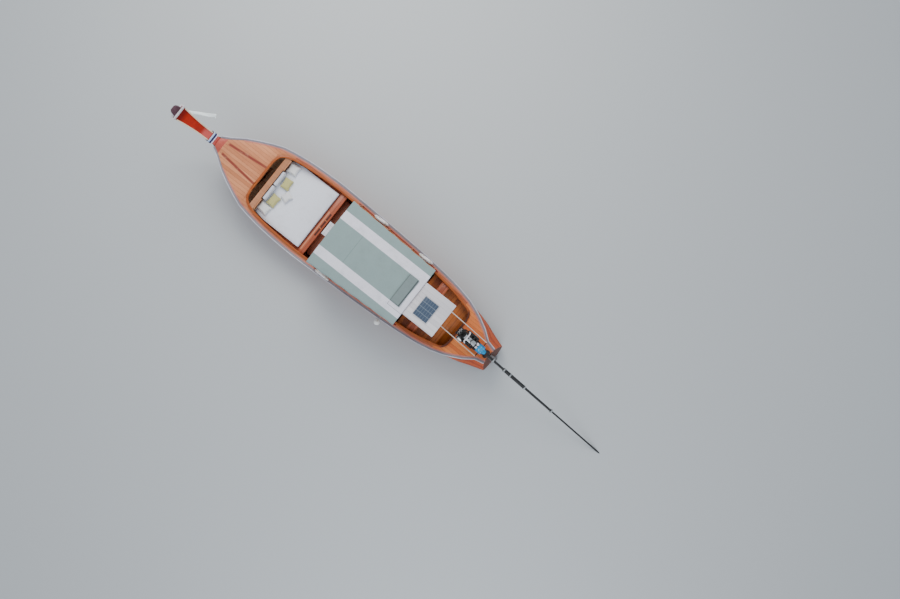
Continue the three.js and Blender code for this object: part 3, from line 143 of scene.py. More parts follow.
class Graph:
    """A material's node tree, with a short call for each node that the finishes use."""

    def __init__(self, name: str, coords: Coords = Coords.OBJECT) -> None:
        """Starts an empty material around a Principled shader.

        Args:
            name: The material's name.
            coords: Which coordinates the patterns read.
        """
        self.material = bpy.data.materials.new(name)
        self.material.use_nodes = True
        self.nodes = self.material.node_tree.nodes
        self.links = self.material.node_tree.links
        self.nodes.clear()
        self.shader = self.nodes.new("ShaderNodeBsdfPrincipled")
        output = self.nodes.new("ShaderNodeOutputMaterial")
        self.links.new(self.shader.outputs["BSDF"], output.inputs["Surface"])
        self.place = self.nodes.new("ShaderNodeTexCoord").outputs[coords.value]
        split = self.nodes.new("ShaderNodeSeparateXYZ")
        self.links.new(self.place, split.inputs[0])
        self.axes = [split.outputs[i] for i in range(3)]

    def feed(self, socket: Socket, value: object) -> None:
        """Links a socket, or sets it where the value is a plain number or colour.

        Args:
            socket: The input.
            value: Another node's output, a number or a colour.
        """
        if isinstance(value, Socket):
            self.links.new(value, socket)
        else:
            socket.default_value = value

    def math(self, operation: str, *values: object) -> Socket:
        """Adds a Math node.

        Args:
            operation: What it does.
            values: Its inputs, in order.

        Returns:
            Its output.
        """
        node = self.nodes.new("ShaderNodeMath")
        node.operation = operation
        for socket, value in zip(node.inputs, values):
            self.feed(socket, value)
        return node.outputs[0]

    def plus(self, first: object, second: object) -> Socket:
        """The sum of two values."""
        return self.math("ADD", first, second)

    def minus(self, first: object, second: object) -> Socket:
        """The first value less the second."""
        return self.math("SUBTRACT", first, second)

    def times(self, first: object, second: object) -> Socket:
        """The product of two values."""
        return self.math("MULTIPLY", first, second)

    def off_middle(self, value: object, middle: float) -> Socket:
        """How far a value lies from a middle, either way."""
        return self.math("ABSOLUTE", self.minus(value, middle))

    def smooth(self, value: object, low: float, high: float, to: Limits = (0, 1)) -> Socket:
        """Adds a Map Range that goes smoothly from one limit to the other.

        Args:
            value: What is mapped.
            low: Where the slope starts.
            high: Where it ends.
            to: What comes out at its two ends.

        Returns:
            The mapped value.
        """
        node = self.nodes.new("ShaderNodeMapRange")
        node.interpolation_type = "SMOOTHSTEP"
        names = ("Value", "From Min", "From Max", "To Min", "To Max")
        for name, number in zip(names, (value, low, high, *to)):
            self.feed(node.inputs[name], number)
        return node.outputs["Result"]

    def mix(self, share: object, first: object, second: object) -> Socket:
        """Adds a colour Mix.

        Args:
            share: How much of the second colour there is, from 0 to 1.
            first: The first colour.
            second: The second colour.

        Returns:
            The mixed colour.
        """
        node = self.nodes.new("ShaderNodeMix")
        node.data_type = "RGBA"
        for place, value in ((0, share), (6, first), (7, second)):
            self.feed(node.inputs[place], value)
        return node.outputs[2]

    def noise(self, scale: Point, detail: float = 4, rough: float = 0.55) -> Socket:
        """Adds a Noise texture whose scale differs along each axis.

        Args:
            scale: The scale along each axis.
            detail: How many finer layers it has.
            rough: How strong each finer layer is.

        Returns:
            A value from 0 to 1.
        """
        mapping = self.nodes.new("ShaderNodeMapping")
        mapping.inputs["Scale"].default_value = scale
        self.links.new(self.place, mapping.inputs["Vector"])
        node = self.nodes.new("ShaderNodeTexNoise")
        self.links.new(mapping.outputs[0], node.inputs["Vector"])
        for name, number in (("Scale", 1), ("Detail", detail), ("Roughness", rough)):
            node.inputs[name].default_value = number
        return node.outputs["Fac"]

    def chance(self, number: object) -> Socket:
        """Adds a White Noise.

        Args:
            number: A whole number.

        Returns:
            A value from 0 to 1 that is the number's own.
        """
        node = self.nodes.new("ShaderNodeTexWhiteNoise")
        node.noise_dimensions = "1D"
        self.feed(node.inputs["W"], number)
        return node.outputs["Value"]

    def bump(self, height: object, distance: float) -> None:
        """Sets the shader's normal.

        Args:
            height: The height's pattern.
            distance: What a height of 1 stands for, in metres.
        """
        node = self.nodes.new("ShaderNodeBump")
        node.inputs["Distance"].default_value = distance
        node.inputs["Strength"].default_value = 1.0
        self.feed(node.inputs["Height"], height)
        self.links.new(node.outputs[0], self.shader.inputs["Normal"])

    def within(self, value: object, low: float, high: float, soft: float) -> Socket:
        """Finds where a value lies between two limits.

        Args:
            value: What is compared.
            low: The lower limit.
            high: The upper limit.
            soft: Half the width of each edge.

        Returns:
            1 between the limits and 0 outside them.
        """
        above = self.smooth(value, low - soft, low + soft)
        under = self.smooth(value, high - soft, high + soft, (1, 0))
        return self.times(above, under)

    def finish(self, colour: object, rough: object, **plain: float) -> bpy.types.Material:
        """Feeds the shader.

        Args:
            colour: The base colour.
            rough: The roughness.
            plain: Numbers for other sockets, with underscores for the spaces in their names.

        Returns:
            The material.
        """
        self.feed(self.shader.inputs["Base Color"], colour)
        self.feed(self.shader.inputs["Roughness"], rough)
        for name, value in plain.items():
            self.shader.inputs[name.replace("_", " ")].default_value = value
        return self.material


@dataclass(frozen=True)
class Band:
    """A strip of colour between two distances from a lengthwise line, which may spread aft: paint and
    dye, and also painted shade, light and highlight.

    Attributes:
        colour: The strip's colour.
        low: Its nearer edge at the place `start`.
        high: Its farther edge there.
        spread: How far both edges move out for each metre aft of `start`.
        start: Where the edges are given.
        fore: The strip's forward end.
        aft: Its after end.
        centre: The line that distances are taken from.
        soft: How soft its edges are.
    """

    colour: Colour
    low: float = -1.0
    high: float = 9.0
    spread: float = 0.0
    start: float = 0.0
    fore: float = 99.0
    aft: float = -99.0
    centre: float = 0.0
    soft: float = 0.004

    def over(self, graph: Graph, colour: object) -> Socket:
        """Lays the strip over a colour.

        Args:
            graph: The material's tree.
            colour: The colour so far.

        Returns:
            The colour with the strip on it.
        """
        length, width = (graph.axes[axis.value] for axis in (Axis.ALONG, Axis.ACROSS))
        off = graph.off_middle(width, self.centre)
        if self.spread:
            off = graph.minus(off, graph.times(graph.minus(self.start, length), self.spread))
        across = graph.within(off, self.low, self.high, self.soft)
        along = graph.within(length, self.aft, self.fore, self.soft * 2)
        return graph.mix(graph.times(across, along), colour, linear(self.colour))


def banded(graph: Graph, colour: object, bands: Sequence[Band]) -> object:
    """Lays several strips over a colour.

    Args:
        graph: The material's tree.
        colour: The colour so far.
        bands: The strips, in order.

    Returns:
        The colour with the strips on it.
    """
    for band in bands:
        colour = band.over(graph, colour)
    return colour


@dataclass(frozen=True)
class Timber:
    """Planks under varnish or paint: grain, seams between boards, wear, and strips of paint, painted
    shade or painted highlight.

    Attributes:
        name: The material's name.
        pale: The lighter tone of the grain.
        deep: The darker tone.
        board: How wide each board is, or 0 for one piece.
        lies: The axis that the boards' lengths follow.
        counted: The axis that they are counted across.
        seam: The colour between boards.
        worn: What shows where the finish has gone.
        wear: How much of it has gone, from 0 to 1.
        rough: Roughness of the sound finish.
        coat: How much clear varnish lies on top.
        bands: Strips of paint, painted shade, painted light or painted highlight.
        coords: Which coordinates the pattern reads.
        gap: Width of the seam.
        gloss: How strongly the finish itself reflects.
    """

    name: str
    pale: Colour
    deep: Colour
    board: float = 0.0
    lies: Axis = Axis.ALONG
    counted: Axis = Axis.ACROSS
    seam: Colour = (58, 34, 22)
    worn: Colour = (196, 170, 148)
    wear: float = 0.35
    rough: float = 0.42
    coat: float = 0.25
    bands: tuple[Band, ...] = ()
    coords: Coords = Coords.OBJECT
    gap: float = 0.008
    gloss: float = 0.3

    def drawn_out(self, across: float, along: float) -> Point:
        """A noise scale that is finer across the boards than along them."""
        return tuple(along if axis == self.lies.value else across for axis in range(3))

    def boards(self, graph: Graph, tone: Socket) -> tuple[Socket, Socket]:
        """Splits the timber into boards.

        Args:
            graph: The material's tree.
            tone: The grain's tone.

        Returns:
            The tone with each board's own shade in it, and 1 on the seams.
        """
        shade, half = 0.4, self.gap / self.board / 2
        count = graph.math("DIVIDE", graph.axes[self.counted.value], self.board)
        own = graph.chance(graph.math("FLOOR", count))
        tone = graph.plus(graph.times(tone, 1 - shade), graph.times(own, shade))
        edge = graph.off_middle(graph.math("FRACT", count), 0.5)
        return tone, graph.smooth(edge, 0.5 - half * 1.6, 0.5 - half * 0.5)

    def material(self) -> bpy.types.Material:
        """Builds the material.

        Returns:
            The material, under the finish's name.
        """
        graph = Graph(self.name, self.coords)
        grain_share, relief, seam_dark, baring = 0.55, 0.18, 0.85, 0.3 * self.wear
        grain = graph.noise(self.drawn_out(34.0, 1.6), 5, 0.62)
        figure = graph.noise(self.drawn_out(7.0, 0.7), 3)
        tone = graph.plus(graph.times(grain, grain_share), graph.times(figure, 1 - grain_share))
        height, seam = graph.times(grain, relief), 0.0
        if self.board:
            tone, seam = self.boards(graph, tone)
            height = graph.minus(height, seam)
        colour = graph.mix(graph.smooth(tone, 0.25, 0.75), linear(self.deep), linear(self.pale))
        patches = graph.noise((1.7, 2.4, 2.4), 6, 0.7)
        gone = graph.smooth(patches, 0.72 - baring, 0.86 - baring, (0, 0.75 * self.wear + 0.1))
        colour = banded(graph, colour, self.bands)
        scuffed = graph.times(gone, graph.smooth(grain, 0.35, 0.65, (0.35, 1)))
        colour = graph.mix(scuffed, colour, linear(self.worn))
        grime = graph.smooth(graph.noise((0.9, 1.6, 1.6), 5, 0.65), 0.48, 0.8, (0, 0.28))
        colour = graph.mix(grime, colour, linear(self.seam))
        if self.board:
            colour = graph.mix(graph.times(seam, seam_dark), colour, linear(self.seam))
        graph.bump(height, 0.004)
        rough = graph.plus(self.rough, graph.times(gone, 0.35))
        return graph.finish(
            colour, rough, Coat_Weight=self.coat, Coat_Roughness=0.25, Specular_IOR_Level=self.gloss)


@dataclass(frozen=True)
class Cloth:
    """Woven cloth with soft stains, folds of tone, printed or sewn bands and strips of painted shade.

    Attributes:
        name: The material's name.
        colour: The cloth's colour.
        stain: What it is soiled with.
        soil: How much of it is soiled.
        bands: Sewn or dyed strips, and strips of painted shade.
        coords: Which coordinates the weave reads.
        thread: The distance between threads.
    """

    name: str
    colour: Colour
    stain: Colour
    soil: float
    bands: tuple[Band, ...] = ()
    coords: Coords = Coords.OBJECT
    thread: float = 0.004

    def material(self) -> bpy.types.Material:
        """Builds the material.

        Returns:
            The material, under the finish's name.
        """
        graph = Graph(self.name, self.coords)
        pitch = math.tau / self.thread
        warp, weft = (graph.math("SINE", graph.times(graph.axes[i], pitch)) for i in (0, 1))
        colour = banded(graph, linear(self.colour), self.bands)
        slub = graph.smooth(graph.noise((90, 12, 90), 3), 0.35, 0.75, (0, 0.12))
        colour = graph.mix(slub, colour, linear(self.stain))
        patches = graph.noise((2.2, 2.8, 2.8), 6, 0.7)
        soiled = graph.smooth(patches, 0.45, 0.85, (0, self.soil))
        colour = graph.mix(soiled, colour, linear(self.stain))
        creases = graph.times(graph.noise((5, 7, 7), 4, 0.6), 6.0)
        graph.bump(graph.plus(creases, graph.times(graph.times(warp, weft), 0.25)), 0.0016)
        return graph.finish(colour, 0.88, Sheen_Weight=0.25, Sheen_Roughness=0.45)


@dataclass(frozen=True)
class Metal:
    """Bare, painted or cast metal with oil, dust and rubbed patches.

    Attributes:
        name: The material's name.
        colour: The metal's or paint's colour.
        grime: The colour of oil, rust or dust on it.
        bare: How metallic it is.
        rough: Its roughness.
        dirt: How much is covered, from 0 to 1.
        cast: Height of the casting's grain.
        gloss: How strongly paint on it reflects.
    """

    name: str
    # colour: The metal's or paint's colour, darkened as painted shade in the gearbox's shaded copy.
    colour: Colour
    grime: Colour
    bare: float = 0.0
    rough: float = 0.4
    dirt: float = 0.35
    cast: float = 0.0004
    gloss: float = 0.4

    def material(self) -> bpy.types.Material:
        """Builds the material.

        Returns:
            The material, under the finish's name.
        """
        graph = Graph(self.name)
        spots = graph.noise((9, 9, 9), 7, 0.7)
        fine = graph.noise((60, 60, 60), 4, 0.6)
        start, end = 0.62 - 0.3 * self.dirt, 0.9 - 0.25 * self.dirt
        dirty = graph.smooth(spots, start, end, (0, 0.85))
        grime = linear(self.grime)
        tint = graph.mix(graph.smooth(fine, 0.3, 0.8, (0, 0.15)), linear(self.colour), grime)
        graph.bump(graph.plus(fine, graph.times(dirty, 0.8)), self.cast)
        rough = graph.plus(self.rough, graph.times(dirty, 0.35))
        return graph.finish(
            graph.mix(dirty, tint, grime), rough, Metallic=self.bare, Specular_IOR_Level=self.gloss)


@dataclass(frozen=True)
class Plastic:
    """Moulded plastic, rubber or cordage of one colour, faded and scuffed."""

    name: str
    colour: Colour
    scuff: Colour = (120, 112, 100)
    rough: float = 0.5

    def material(self) -> bpy.types.Material:
        """Builds the material.

        Returns:
            The material, under the finish's name.
        """
        graph = Graph(self.name)
        marks = graph.smooth(graph.noise((13, 13, 13), 7, 0.75), 0.5, 0.85, (0, 0.5))
        graph.bump(graph.noise((40, 40, 40), 3), 0.0004)
        colour = graph.mix(marks, linear(self.colour), linear(self.scuff))
        return graph.finish(colour, graph.plus(self.rough, graph.times(marks, 0.4)))


@dataclass(frozen=True)
class SolarGlass:
    """Cells behind glass, with a thin line along and a bright wire across the panel.

    Attributes:
        name: The material's name.
        edge: Where the first cell starts, along and across.
        cell: Size of a cell.
        gap: Width of the line between cells.
        strength: How strong the lines of each direction are.
    """

    name: str
    edge: tuple[float, float]
    cell: tuple[float, float] = (0.0965, 0.187)
    gap: float = 0.008
    strength: tuple[float, float] = (0.4, 1.0)

    def material(self) -> bpy.types.Material:
        """Builds the material.

        Returns:
            The material, under the finish's name.
        """
        graph = Graph(self.name)
        lines = 0.0
        for axis, (size, start, strength) in enumerate(zip(self.cell, self.edge, self.strength)):
            count = graph.math("DIVIDE", graph.minus(graph.axes[axis], start), size)
            off = graph.off_middle(graph.math("FRACT", count), 0.5)
            share = self.gap / size
            line = graph.smooth(off, 0.5 - share, 0.5 - share * 0.4, (0, strength))
            lines = graph.math("MAXIMUM", lines, line)
        cells = graph.mix(graph.noise((14, 14, 14), 3), linear((43, 59, 82)), linear((62, 80, 101)))
        colour = graph.mix(graph.times(lines, 0.55), cells, linear((170, 182, 192)))
        dust = graph.noise((6, 6, 6), 6, 0.7)
        graph.bump(dust, 0.0002)
        rough = graph.smooth(dust, 0.3, 0.8, (0.18, 0.4))
        return graph.finish(colour, rough, Coat_Weight=0.6, Coat_Roughness=0.08)


PAINTED = {"wear": 0.3, "rough": 0.5, "coat": 0.1}
PLANKED = {"board": 1.0, "coords": Coords.UV, "wear": 0.3, "gap": 0.05}
CROSSWISE = {"lies": Axis.ACROSS, "counted": Axis.ALONG}


class Paintbox:
    """Every finish on the boat, each made once when it is first asked for."""

    FINISHES = (
        Timber("bottom_oxide", (118, 50, 40), (84, 34, 28), **PLANKED, worn=(120, 118, 96),
               rough=0.7, coat=0.0),
        Timber("hull_planks", (198, 84, 28), (162, 56, 16), **PLANKED, worn=(206, 134, 88),
               rough=0.55, coat=0.05),
        Timber("keel_oxide", (112, 48, 38), (80, 34, 28), worn=(110, 104, 88), rough=0.7, coat=0.0),
        Timber("foredeck_planks", (219, 146, 102), (193, 120, 80), 0.118, wear=0.45,
               worn=(214, 176, 146), rough=0.6, coat=0.05, seam=(132, 78, 54), gap=0.006, bands=(
                   Band((136, 58, 46), 0.155, 0.245, spread=0.11, start=5.4, fore=5.36,
                        centre=0.02, soft=0.02),
                   Band((196, 120, 78), fore=3.7, soft=0.3),
               )),
        Timber("breasthook_paint", (196, 92, 78), (168, 72, 58), **PAINTED, worn=(206, 134, 104)),
        Timber("side_deck_planks", (194, 118, 76), (171, 87, 51), 0.09, wear=0.4,
               worn=(214, 166, 142), rough=0.45, coat=0.3, seam=(120, 62, 38), gap=0.006,
               bands=(Band((131, 35, 27), 0.0, 3.0, fore=0.68, aft=-3.05, soft=0.01),)),
        Timber("aft_deck_planks", (229, 130, 61), (199, 96, 38), 0.12, wear=0.5,
               worn=(214, 170, 140), rough=0.5, seam=(116, 62, 34), gap=0.006),
        # The dark band aft of x = -4.77 is painted shade: it darkens the coaming's after end and cap
        # where the after deck's edge throws shadow into the well.
        Timber("coaming_varnish", (176, 92, 34), (142, 62, 18), wear=0.2, worn=(206, 140, 86),
               rough=0.36, coat=0.2, bands=(Band((88, 38, 12), fore=-4.77, soft=0.03),)),
        Timber("planksheer_paint", (204, 132, 114), (184, 104, 88), **PAINTED,
               worn=(216, 178, 160)),
        Timber("bead_paint", (206, 206, 216), (178, 180, 190), **PAINTED, worn=(146, 130, 122)),
        Timber("headboard_varnish", (188, 130, 92), (162, 104, 70), wear=0.4,
               worn=(216, 176, 140), rough=0.45, coat=0.15),
        # The first band is painted shade, a dark strip standing for the shadow in a slot across the
        # bench top; the second is a painted highlight along the bench's forward edge.
        Timber("bench_varnish", (180, 92, 58), (152, 68, 40), 0.125, **CROSSWISE, coat=0.3, bands=(
            Band((84, 32, 12), 0.0, 0.4825, fore=1.276, aft=1.204, centre=0.0175),
            Band((206, 132, 98), -1.0, 0.85, fore=1.365, aft=1.315, centre=0.35, soft=0.008),
        )),
        Timber("well_planks", (196, 110, 46), (156, 76, 26), 0.15, **CROSSWISE, wear=0.4,
               rough=0.45, seam=(96, 50, 26)),
        # The pale band forward of x = 3.3 is painted light: it brightens the planks seen deep in the
        # slot behind the headboard.
        Timber("cabin_planks", (206, 128, 88), (172, 98, 64), 0.14, wear=0.4, rough=0.55, coat=0.1,
               bands=(Band((238, 196, 158), aft=3.3, soft=0.1),)),
        # The step's finish is darker than the cabin planks: partly the timber's own tone, partly
        # painted shade under the bench.
        Timber("dark_timber", (170, 98, 72), (124, 66, 48), 0.12, **CROSSWISE, wear=0.15,
               worn=(120, 84, 64), rough=0.5, coat=0.1),
        Timber("frame_varnish", (196, 122, 70), (150, 82, 42), wear=0.3, rough=0.4, coat=0.35),
        Timber("rail_paint", (146, 139, 144), (120, 113, 121), wear=0.4, worn=(132, 112, 98),
               rough=0.5, coat=0.1, seam=(92, 90, 94)),
        Timber("prow_red", (190, 40, 10), (152, 24, 6), wear=0.15, worn=(206, 84, 50), coat=0.08,
               seam=(70, 18, 12), gloss=0.2, bands=(
                   Band((200, 88, 80), fore=6.14, soft=0.03),
                   Band((122, 18, 8), aft=6.64, soft=0.03),
                   Band((216, 212, 216), aft=6.815),
               )),
        Timber("nose_paint", (104, 70, 82), (62, 36, 46), wear=0.4, worn=(196, 186, 190),
               rough=0.5, coat=0.1),
        Timber("white_paint", (226, 222, 224), (206, 202, 206), 0.16, wear=0.3,
               worn=(188, 180, 172), rough=0.55, coat=0.05, seam=(168, 164, 164), gap=0.003),
        Timber("grey_paint", (128, 124, 124), (96, 92, 94), wear=0.45, worn=(150, 120, 98),
               rough=0.6, coat=0.0),
        Timber("gold_edging", (240, 222, 196), (226, 200, 164), wear=0.3, worn=(226, 220, 204),
               rough=0.4, coat=0.3),
        Cloth("canopy_canvas", (134, 154, 153), (112, 124, 120), 0.35, (
            Band((228, 226, 236), 0.57, 0.91),
            Band((228, 226, 236), -1.0, 0.58, fore=-2.79),
            Band((104, 122, 120), -1.0, 0.57, fore=-0.345, aft=-0.357, soft=0.002),
            Band((118, 122, 126), 0.0, 0.007, fore=-2.42, centre=0.714),
            Band((118, 122, 126), 0.0, 0.06, fore=-2.405, aft=-2.42, centre=0.66),
        )),
        # The fold is a darker copy of the canopy's grey, painted shade between its layers, and its two
        # dark strips near its after and forward edges are painted shadow lines.
        Cloth("folded_canvas_cloth", (120, 134, 134), (92, 102, 98), 0.4, (
            Band((62, 70, 70), fore=-2.745, aft=-2.78, soft=0.006),
            Band((96, 108, 106), fore=-2.395, aft=-2.425, soft=0.006),
        )),
        Cloth("mattress_canvas", (231, 234, 243), (170, 168, 170), 0.22),
        Cloth("cushion_canvas", (210, 212, 222), (168, 164, 170), 0.22),
        Cloth("white_cotton", (226, 226, 226), (176, 170, 158), 0.25),
        Cloth("lime_cotton", (190, 184, 122), (146, 138, 84), 0.3),
        Cloth("sash_cotton", (186, 210, 240), (120, 110, 130), 0.2, (
            Band((240, 228, 248), -9.0, fore=0.04, soft=0.001),
            Band((4, 14, 78), -9.0, fore=0.112, aft=0.04, soft=0.001),
        ), Coords.UV),
        Cloth("streamer_cotton", (240, 247, 247), (182, 190, 186), 0.15, coords=Coords.UV),
        Metal("black_casting", (30, 31, 34), (66, 58, 50), 0.3, 0.42, 0.55, 0.0012),
        Metal("dark_steel", (46, 44, 46), (92, 62, 46), 0.5, 0.45, 0.5),
        Metal("galvanised", (172, 176, 178), (110, 104, 98), 0.85, 0.42, 0.3),
        Metal("bright_alloy", (206, 208, 210), (96, 92, 88), 0.9, 0.3, 0.25),
        Metal("white_enamel", (226, 222, 228), (132, 120, 112), rough=0.35, dirt=0.25),
        Metal("blue_enamel", (24, 150, 206), (12, 50, 74), gloss=0.25),
        # A darker copy of the gearbox blue for its sides and underside: painted shade, with random dirt
        # over it.
        Metal("oiled_blue", (8, 62, 104), (10, 26, 40), rough=0.45, dirt=0.6, gloss=0.25),
        Metal("black_enamel", (22, 24, 26), (70, 66, 60), rough=0.38),
        Metal("cream_enamel", (226, 212, 198), (150, 116, 92), dirt=0.25),
        Metal("bronze", (164, 126, 66), (70, 88, 70), 0.95, 0.32),
        Plastic("ring_plastic", (232, 228, 230)),
        Plastic("fender_plastic", (236, 236, 232), rough=0.4),
        Plastic("black_rubber", (24, 24, 25), (70, 68, 64), 0.7),
        Plastic("pale_rope", (206, 198, 184), (140, 126, 104), 0.85),
        SolarGlass("solar_cells", (-3.862, -0.306)),
    )

    def __init__(self) -> None:
        """Starts with nothing mixed."""
        self._recipes = {finish.name: finish for finish in self.FINISHES}
        self._mixed: dict[str, bpy.types.Material] = {}

    def mixed(self, name: str) -> bpy.types.Material:
        """Mixes a finish, or finds it mixed already.

        Args:
            name: The finish's name.

        Returns:
            Its material.
        """
        if name not in self._mixed:
            self._mixed[name] = self._recipes[name].material()
        return self._mixed[name]

    def recoat(self, piece: Thing, name: str, rule: Rule) -> None:
        """Gives some of a piece's faces a second finish.

        Args:
            piece: The object, already coated.
            name: The second finish's name.
            rule: Takes a face's centre and normal and says whether it gets the second finish.
        """
        piece.data.materials.append(self.mixed(name))
        last = len(piece.data.materials) - 1
        for polygon in piece.data.polygons:
            if rule(polygon.center, polygon.normal):
                polygon.material_index = last

    def coat(self, piece: Thing, name: str) -> None:
        """Gives a piece one finish all over.

        Args:
            piece: The object to dress.
            name: The finish's name.
        """
        piece.data.materials.clear()
        piece.data.materials.append(self.mixed(name))
        for polygon in piece.data.polygons:
            polygon.material_index = 0


def only(*pieces: Thing) -> None:
    """Selects these objects and no others, with the first one active.

    Args:
        pieces: The objects.
    """
    bpy.ops.object.select_all(action="DESELECT")
    for piece in pieces:
        piece.select_set(True)
    bpy.context.view_layer.objects.active = pieces[0]


@contextmanager
def editing(piece: Thing, rule: Rule | None = None) -> Iterator[None]:
    """Opens a piece in edit mode with all of its faces, or those that a rule picks, selected.

    Args:
        piece: The mesh object.
        rule: Takes a face's centre and normal and says whether it is selected.

    Yields:
        Nothing; edit mode lasts for the block.
    """
    only(piece)
    bpy.ops.object.mode_set(mode="EDIT")
    bpy.ops.mesh.select_mode(type="FACE")
    bpy.ops.mesh.select_all(action="SELECT" if rule is None else "DESELECT")
    if rule is not None:
        bpy.ops.object.mode_set(mode="OBJECT")
        for polygon in piece.data.polygons:
            polygon.select = rule(polygon.center, polygon.normal)
        bpy.ops.object.mode_set(mode="EDIT")
    try:
        yield
    finally:
        bpy.ops.object.mode_set(mode="OBJECT")


def smoothed(piece: Thing, angle: float | None = None) -> Thing:
    """Shades a piece smooth.

    Args:
        piece: The object.
        angle: The sharpest fold in degrees that is smoothed, or none for all.

    Returns:
        The same object.
    """
    only(piece)
    if angle is None:
        bpy.ops.object.shade_smooth()
    else:
        bpy.ops.object.shade_smooth_by_angle(angle=math.radians(angle))
    return piece


def settle(piece: Thing, name: str) -> Thing:
    """Names a piece and puts its place, turn and size into its mesh.

    Args:
        piece: The object.
        name: Its name.

    Returns:
        The same object.
    """
    only(piece)
    bpy.ops.object.transform_apply(location=True, rotation=True, scale=True)
    piece.name = piece.data.name = name
    return piece


def modify(piece: Thing, kind: str, **settings: object) -> Thing:
    """Puts one modifier on a piece and applies it.

    Args:
        piece: The object.
        kind: The modifier's type.
        settings: Its settings.

    Returns:
        The same object.
    """
    modifier = piece.modifiers.new(kind, kind)
    for name, value in settings.items():
        setattr(modifier, name, value)
    only(piece)
    bpy.ops.object.modifier_apply(modifier=modifier.name)
    return piece


def ease(piece: Thing, width: float, segments: int = 2, angle: float = 40) -> Thing:
    """Rounds a piece's sharp edges and smooths what is left.

    Args:
        piece: The object.
        width: Width of the rounding.
        segments: Faces across the rounding.
        angle: The sharpest fold in degrees that stays as it is.

    Returns:
        The same object.
    """
    if width:
        modify(piece, "BEVEL", width=width, segments=segments, limit_method="ANGLE",
               angle_limit=math.radians(angle), use_clamp_overlap=True)
    return smoothed(piece, angle)


def box(name: str, low: Point, high: Point, width: float = 0.004) -> Thing:
    """Makes a box with eased edges between two corners.

    Args:
        name: The piece's name.
        low: Its lower corner.
        high: Its upper corner.
        width: Width of the eased edges.

    Returns:
        The box.
    """
    middle = [(a + b) / 2 for a, b in zip(low, high)]
    bpy.ops.mesh.primitive_cube_add(size=1, location=middle)
    piece = bpy.context.object
    piece.scale = [b - a for a, b in zip(low, high)]
    return ease(settle(piece, name), width)


def rod(name: str, start: Point, end: Point, radius: float, sides: int = 20,
        width: float = 0.002) -> Thing:
    """Makes a round bar with eased ends between two points.

    Args:
        name: The piece's name.
        start: Its first end.
        end: Its other end.
        radius: Half its thickness.
        sides: Faces round it.
        width: Width of the eased edges.

    Returns:
        The bar.
    """
    along = Vector(end) - Vector(start)
    bpy.ops.mesh.primitive_cylinder_add(
        vertices=sides, radius=radius, depth=along.length, location=Vector(start) + along / 2,
        rotation=along.to_track_quat("Z", "Y").to_euler(),
    )
    return ease(settle(bpy.context.object, name), width)


def hoop(name: str, place: Point, radius: float, thick: float, axis: Point = UPWARD,
         sides: int = 40, faces: int = 10) -> Thing:
    """Makes a ring of round section.

    Args:
        name: The piece's name.
        place: Its middle.
        radius: From its middle to the section's.
        thick: Half the section's thickness.
        axis: What it runs round.
        sides: Faces along it.
        faces: Faces round its section.

    Returns:
        The ring.
    """
    bpy.ops.mesh.primitive_torus_add(
        location=place, major_radius=radius, minor_radius=thick, major_segments=sides,
        minor_segments=faces, rotation=Vector(axis).to_track_quat("Z", "Y").to_euler(),
    )
    return smoothed(settle(bpy.context.object, name))


def swept(name: str, points: Sequence[Point], bends: bool, **section: object) -> Thing:
    """Runs a section along a line and makes a closed mesh of it.

    Args:
        name: The piece's name.
        points: Where the line runs.
        bends: Whether it bends smoothly or has corners.
        section: The curve's settings for the section.

    Returns:
        The piece, with closed ends and faces that point outwards.
    """
    bpy.ops.curve.primitive_nurbs_path_add()
    piece = bpy.context.object
    curve = piece.data
    curve.splines.clear()
    line = curve.splines.new("NURBS" if bends else "POLY")
    line.points.add(len(points) - 1)
    for spot, place in zip(line.points, points):
        spot.co = (*place, 1)
    if bends:
        line.order_u = min(4, len(points))
        line.use_endpoint_u = True
        line.resolution_u = 6
    curve.dimensions = "3D"
    curve.use_fill_caps = True
    for setting, value in section.items():
        setattr(curve, setting, value)
    only(piece)
    bpy.ops.object.convert(target="MESH")
    piece = settle(bpy.context.object, name)
    with editing(piece):
        bpy.ops.mesh.remove_doubles(threshold=SAME_PLACE)
        bpy.ops.mesh.normals_make_consistent(inside=False)
    return piece


def pipe(name: str, points: Sequence[Point], radius: float, quarter: int = 3,
         bends: bool = True) -> Thing:
    """Makes a bent pipe, hose or rope through some points.

    Args:
        name: The piece's name.
        points: Where it runs.
        radius: Half its thickness.
        quarter: A quarter of the faces round it, less one.
        bends: Whether it bends smoothly or has corners.

    Returns:
        The pipe.
    """
    return smoothed(swept(name, points, bends, bevel_depth=radius, bevel_resolution=quarter), 50)


def moulding(name: str, points: Sequence[Point], width: float, height: float) -> Thing:
    """Makes a timber strip of rectangular section with eased edges along a line.

    Args:
        name: The piece's name.
        points: Where the middle of the section runs.
        width: The section's width, level and square to the line.
        height: The section's height.

    Returns:
        The strip.
    """
    bpy.ops.mesh.primitive_plane_add(size=1)
    section = bpy.context.object
    section.scale = (width, height, 1)
    settle(section, "section")
    bpy.ops.object.convert(target="CURVE")
    section = bpy.context.object
    piece = swept(name, points, False, twist_mode="Z_UP", bevel_mode="OBJECT", bevel_object=section)
    bpy.data.objects.remove(section)
    return ease(piece, min(width, height) * 0.3)


def joined(name: str, pieces: Sequence[Thing]) -> Thing:
    """Joins several meshes into one piece.

    Args:
        name: The piece's name.
        pieces: The meshes.

    Returns:
        The piece.
    """
    only(*pieces)
    if len(pieces) > 1:
        bpy.ops.object.join()
    piece = bpy.context.view_layer.objects.active
    piece.name = piece.data.name = name
    return piece


def copies(piece: Thing, places: Sequence[Matrix]) -> list[Thing]:
    """Copies a modelled piece, each copy with its own mesh, and drops the first.

    Args:
        piece: What is copied.
        places: The transform of each copy.

    Returns:
        The copies.
    """
    made = []
    for place in places:
        twin = bpy.data.objects.new(piece.name, piece.data.copy())
        bpy.context.collection.objects.link(twin)
        twin.data.transform(place)
        made.append(twin)
    bpy.data.objects.remove(piece)
    return made


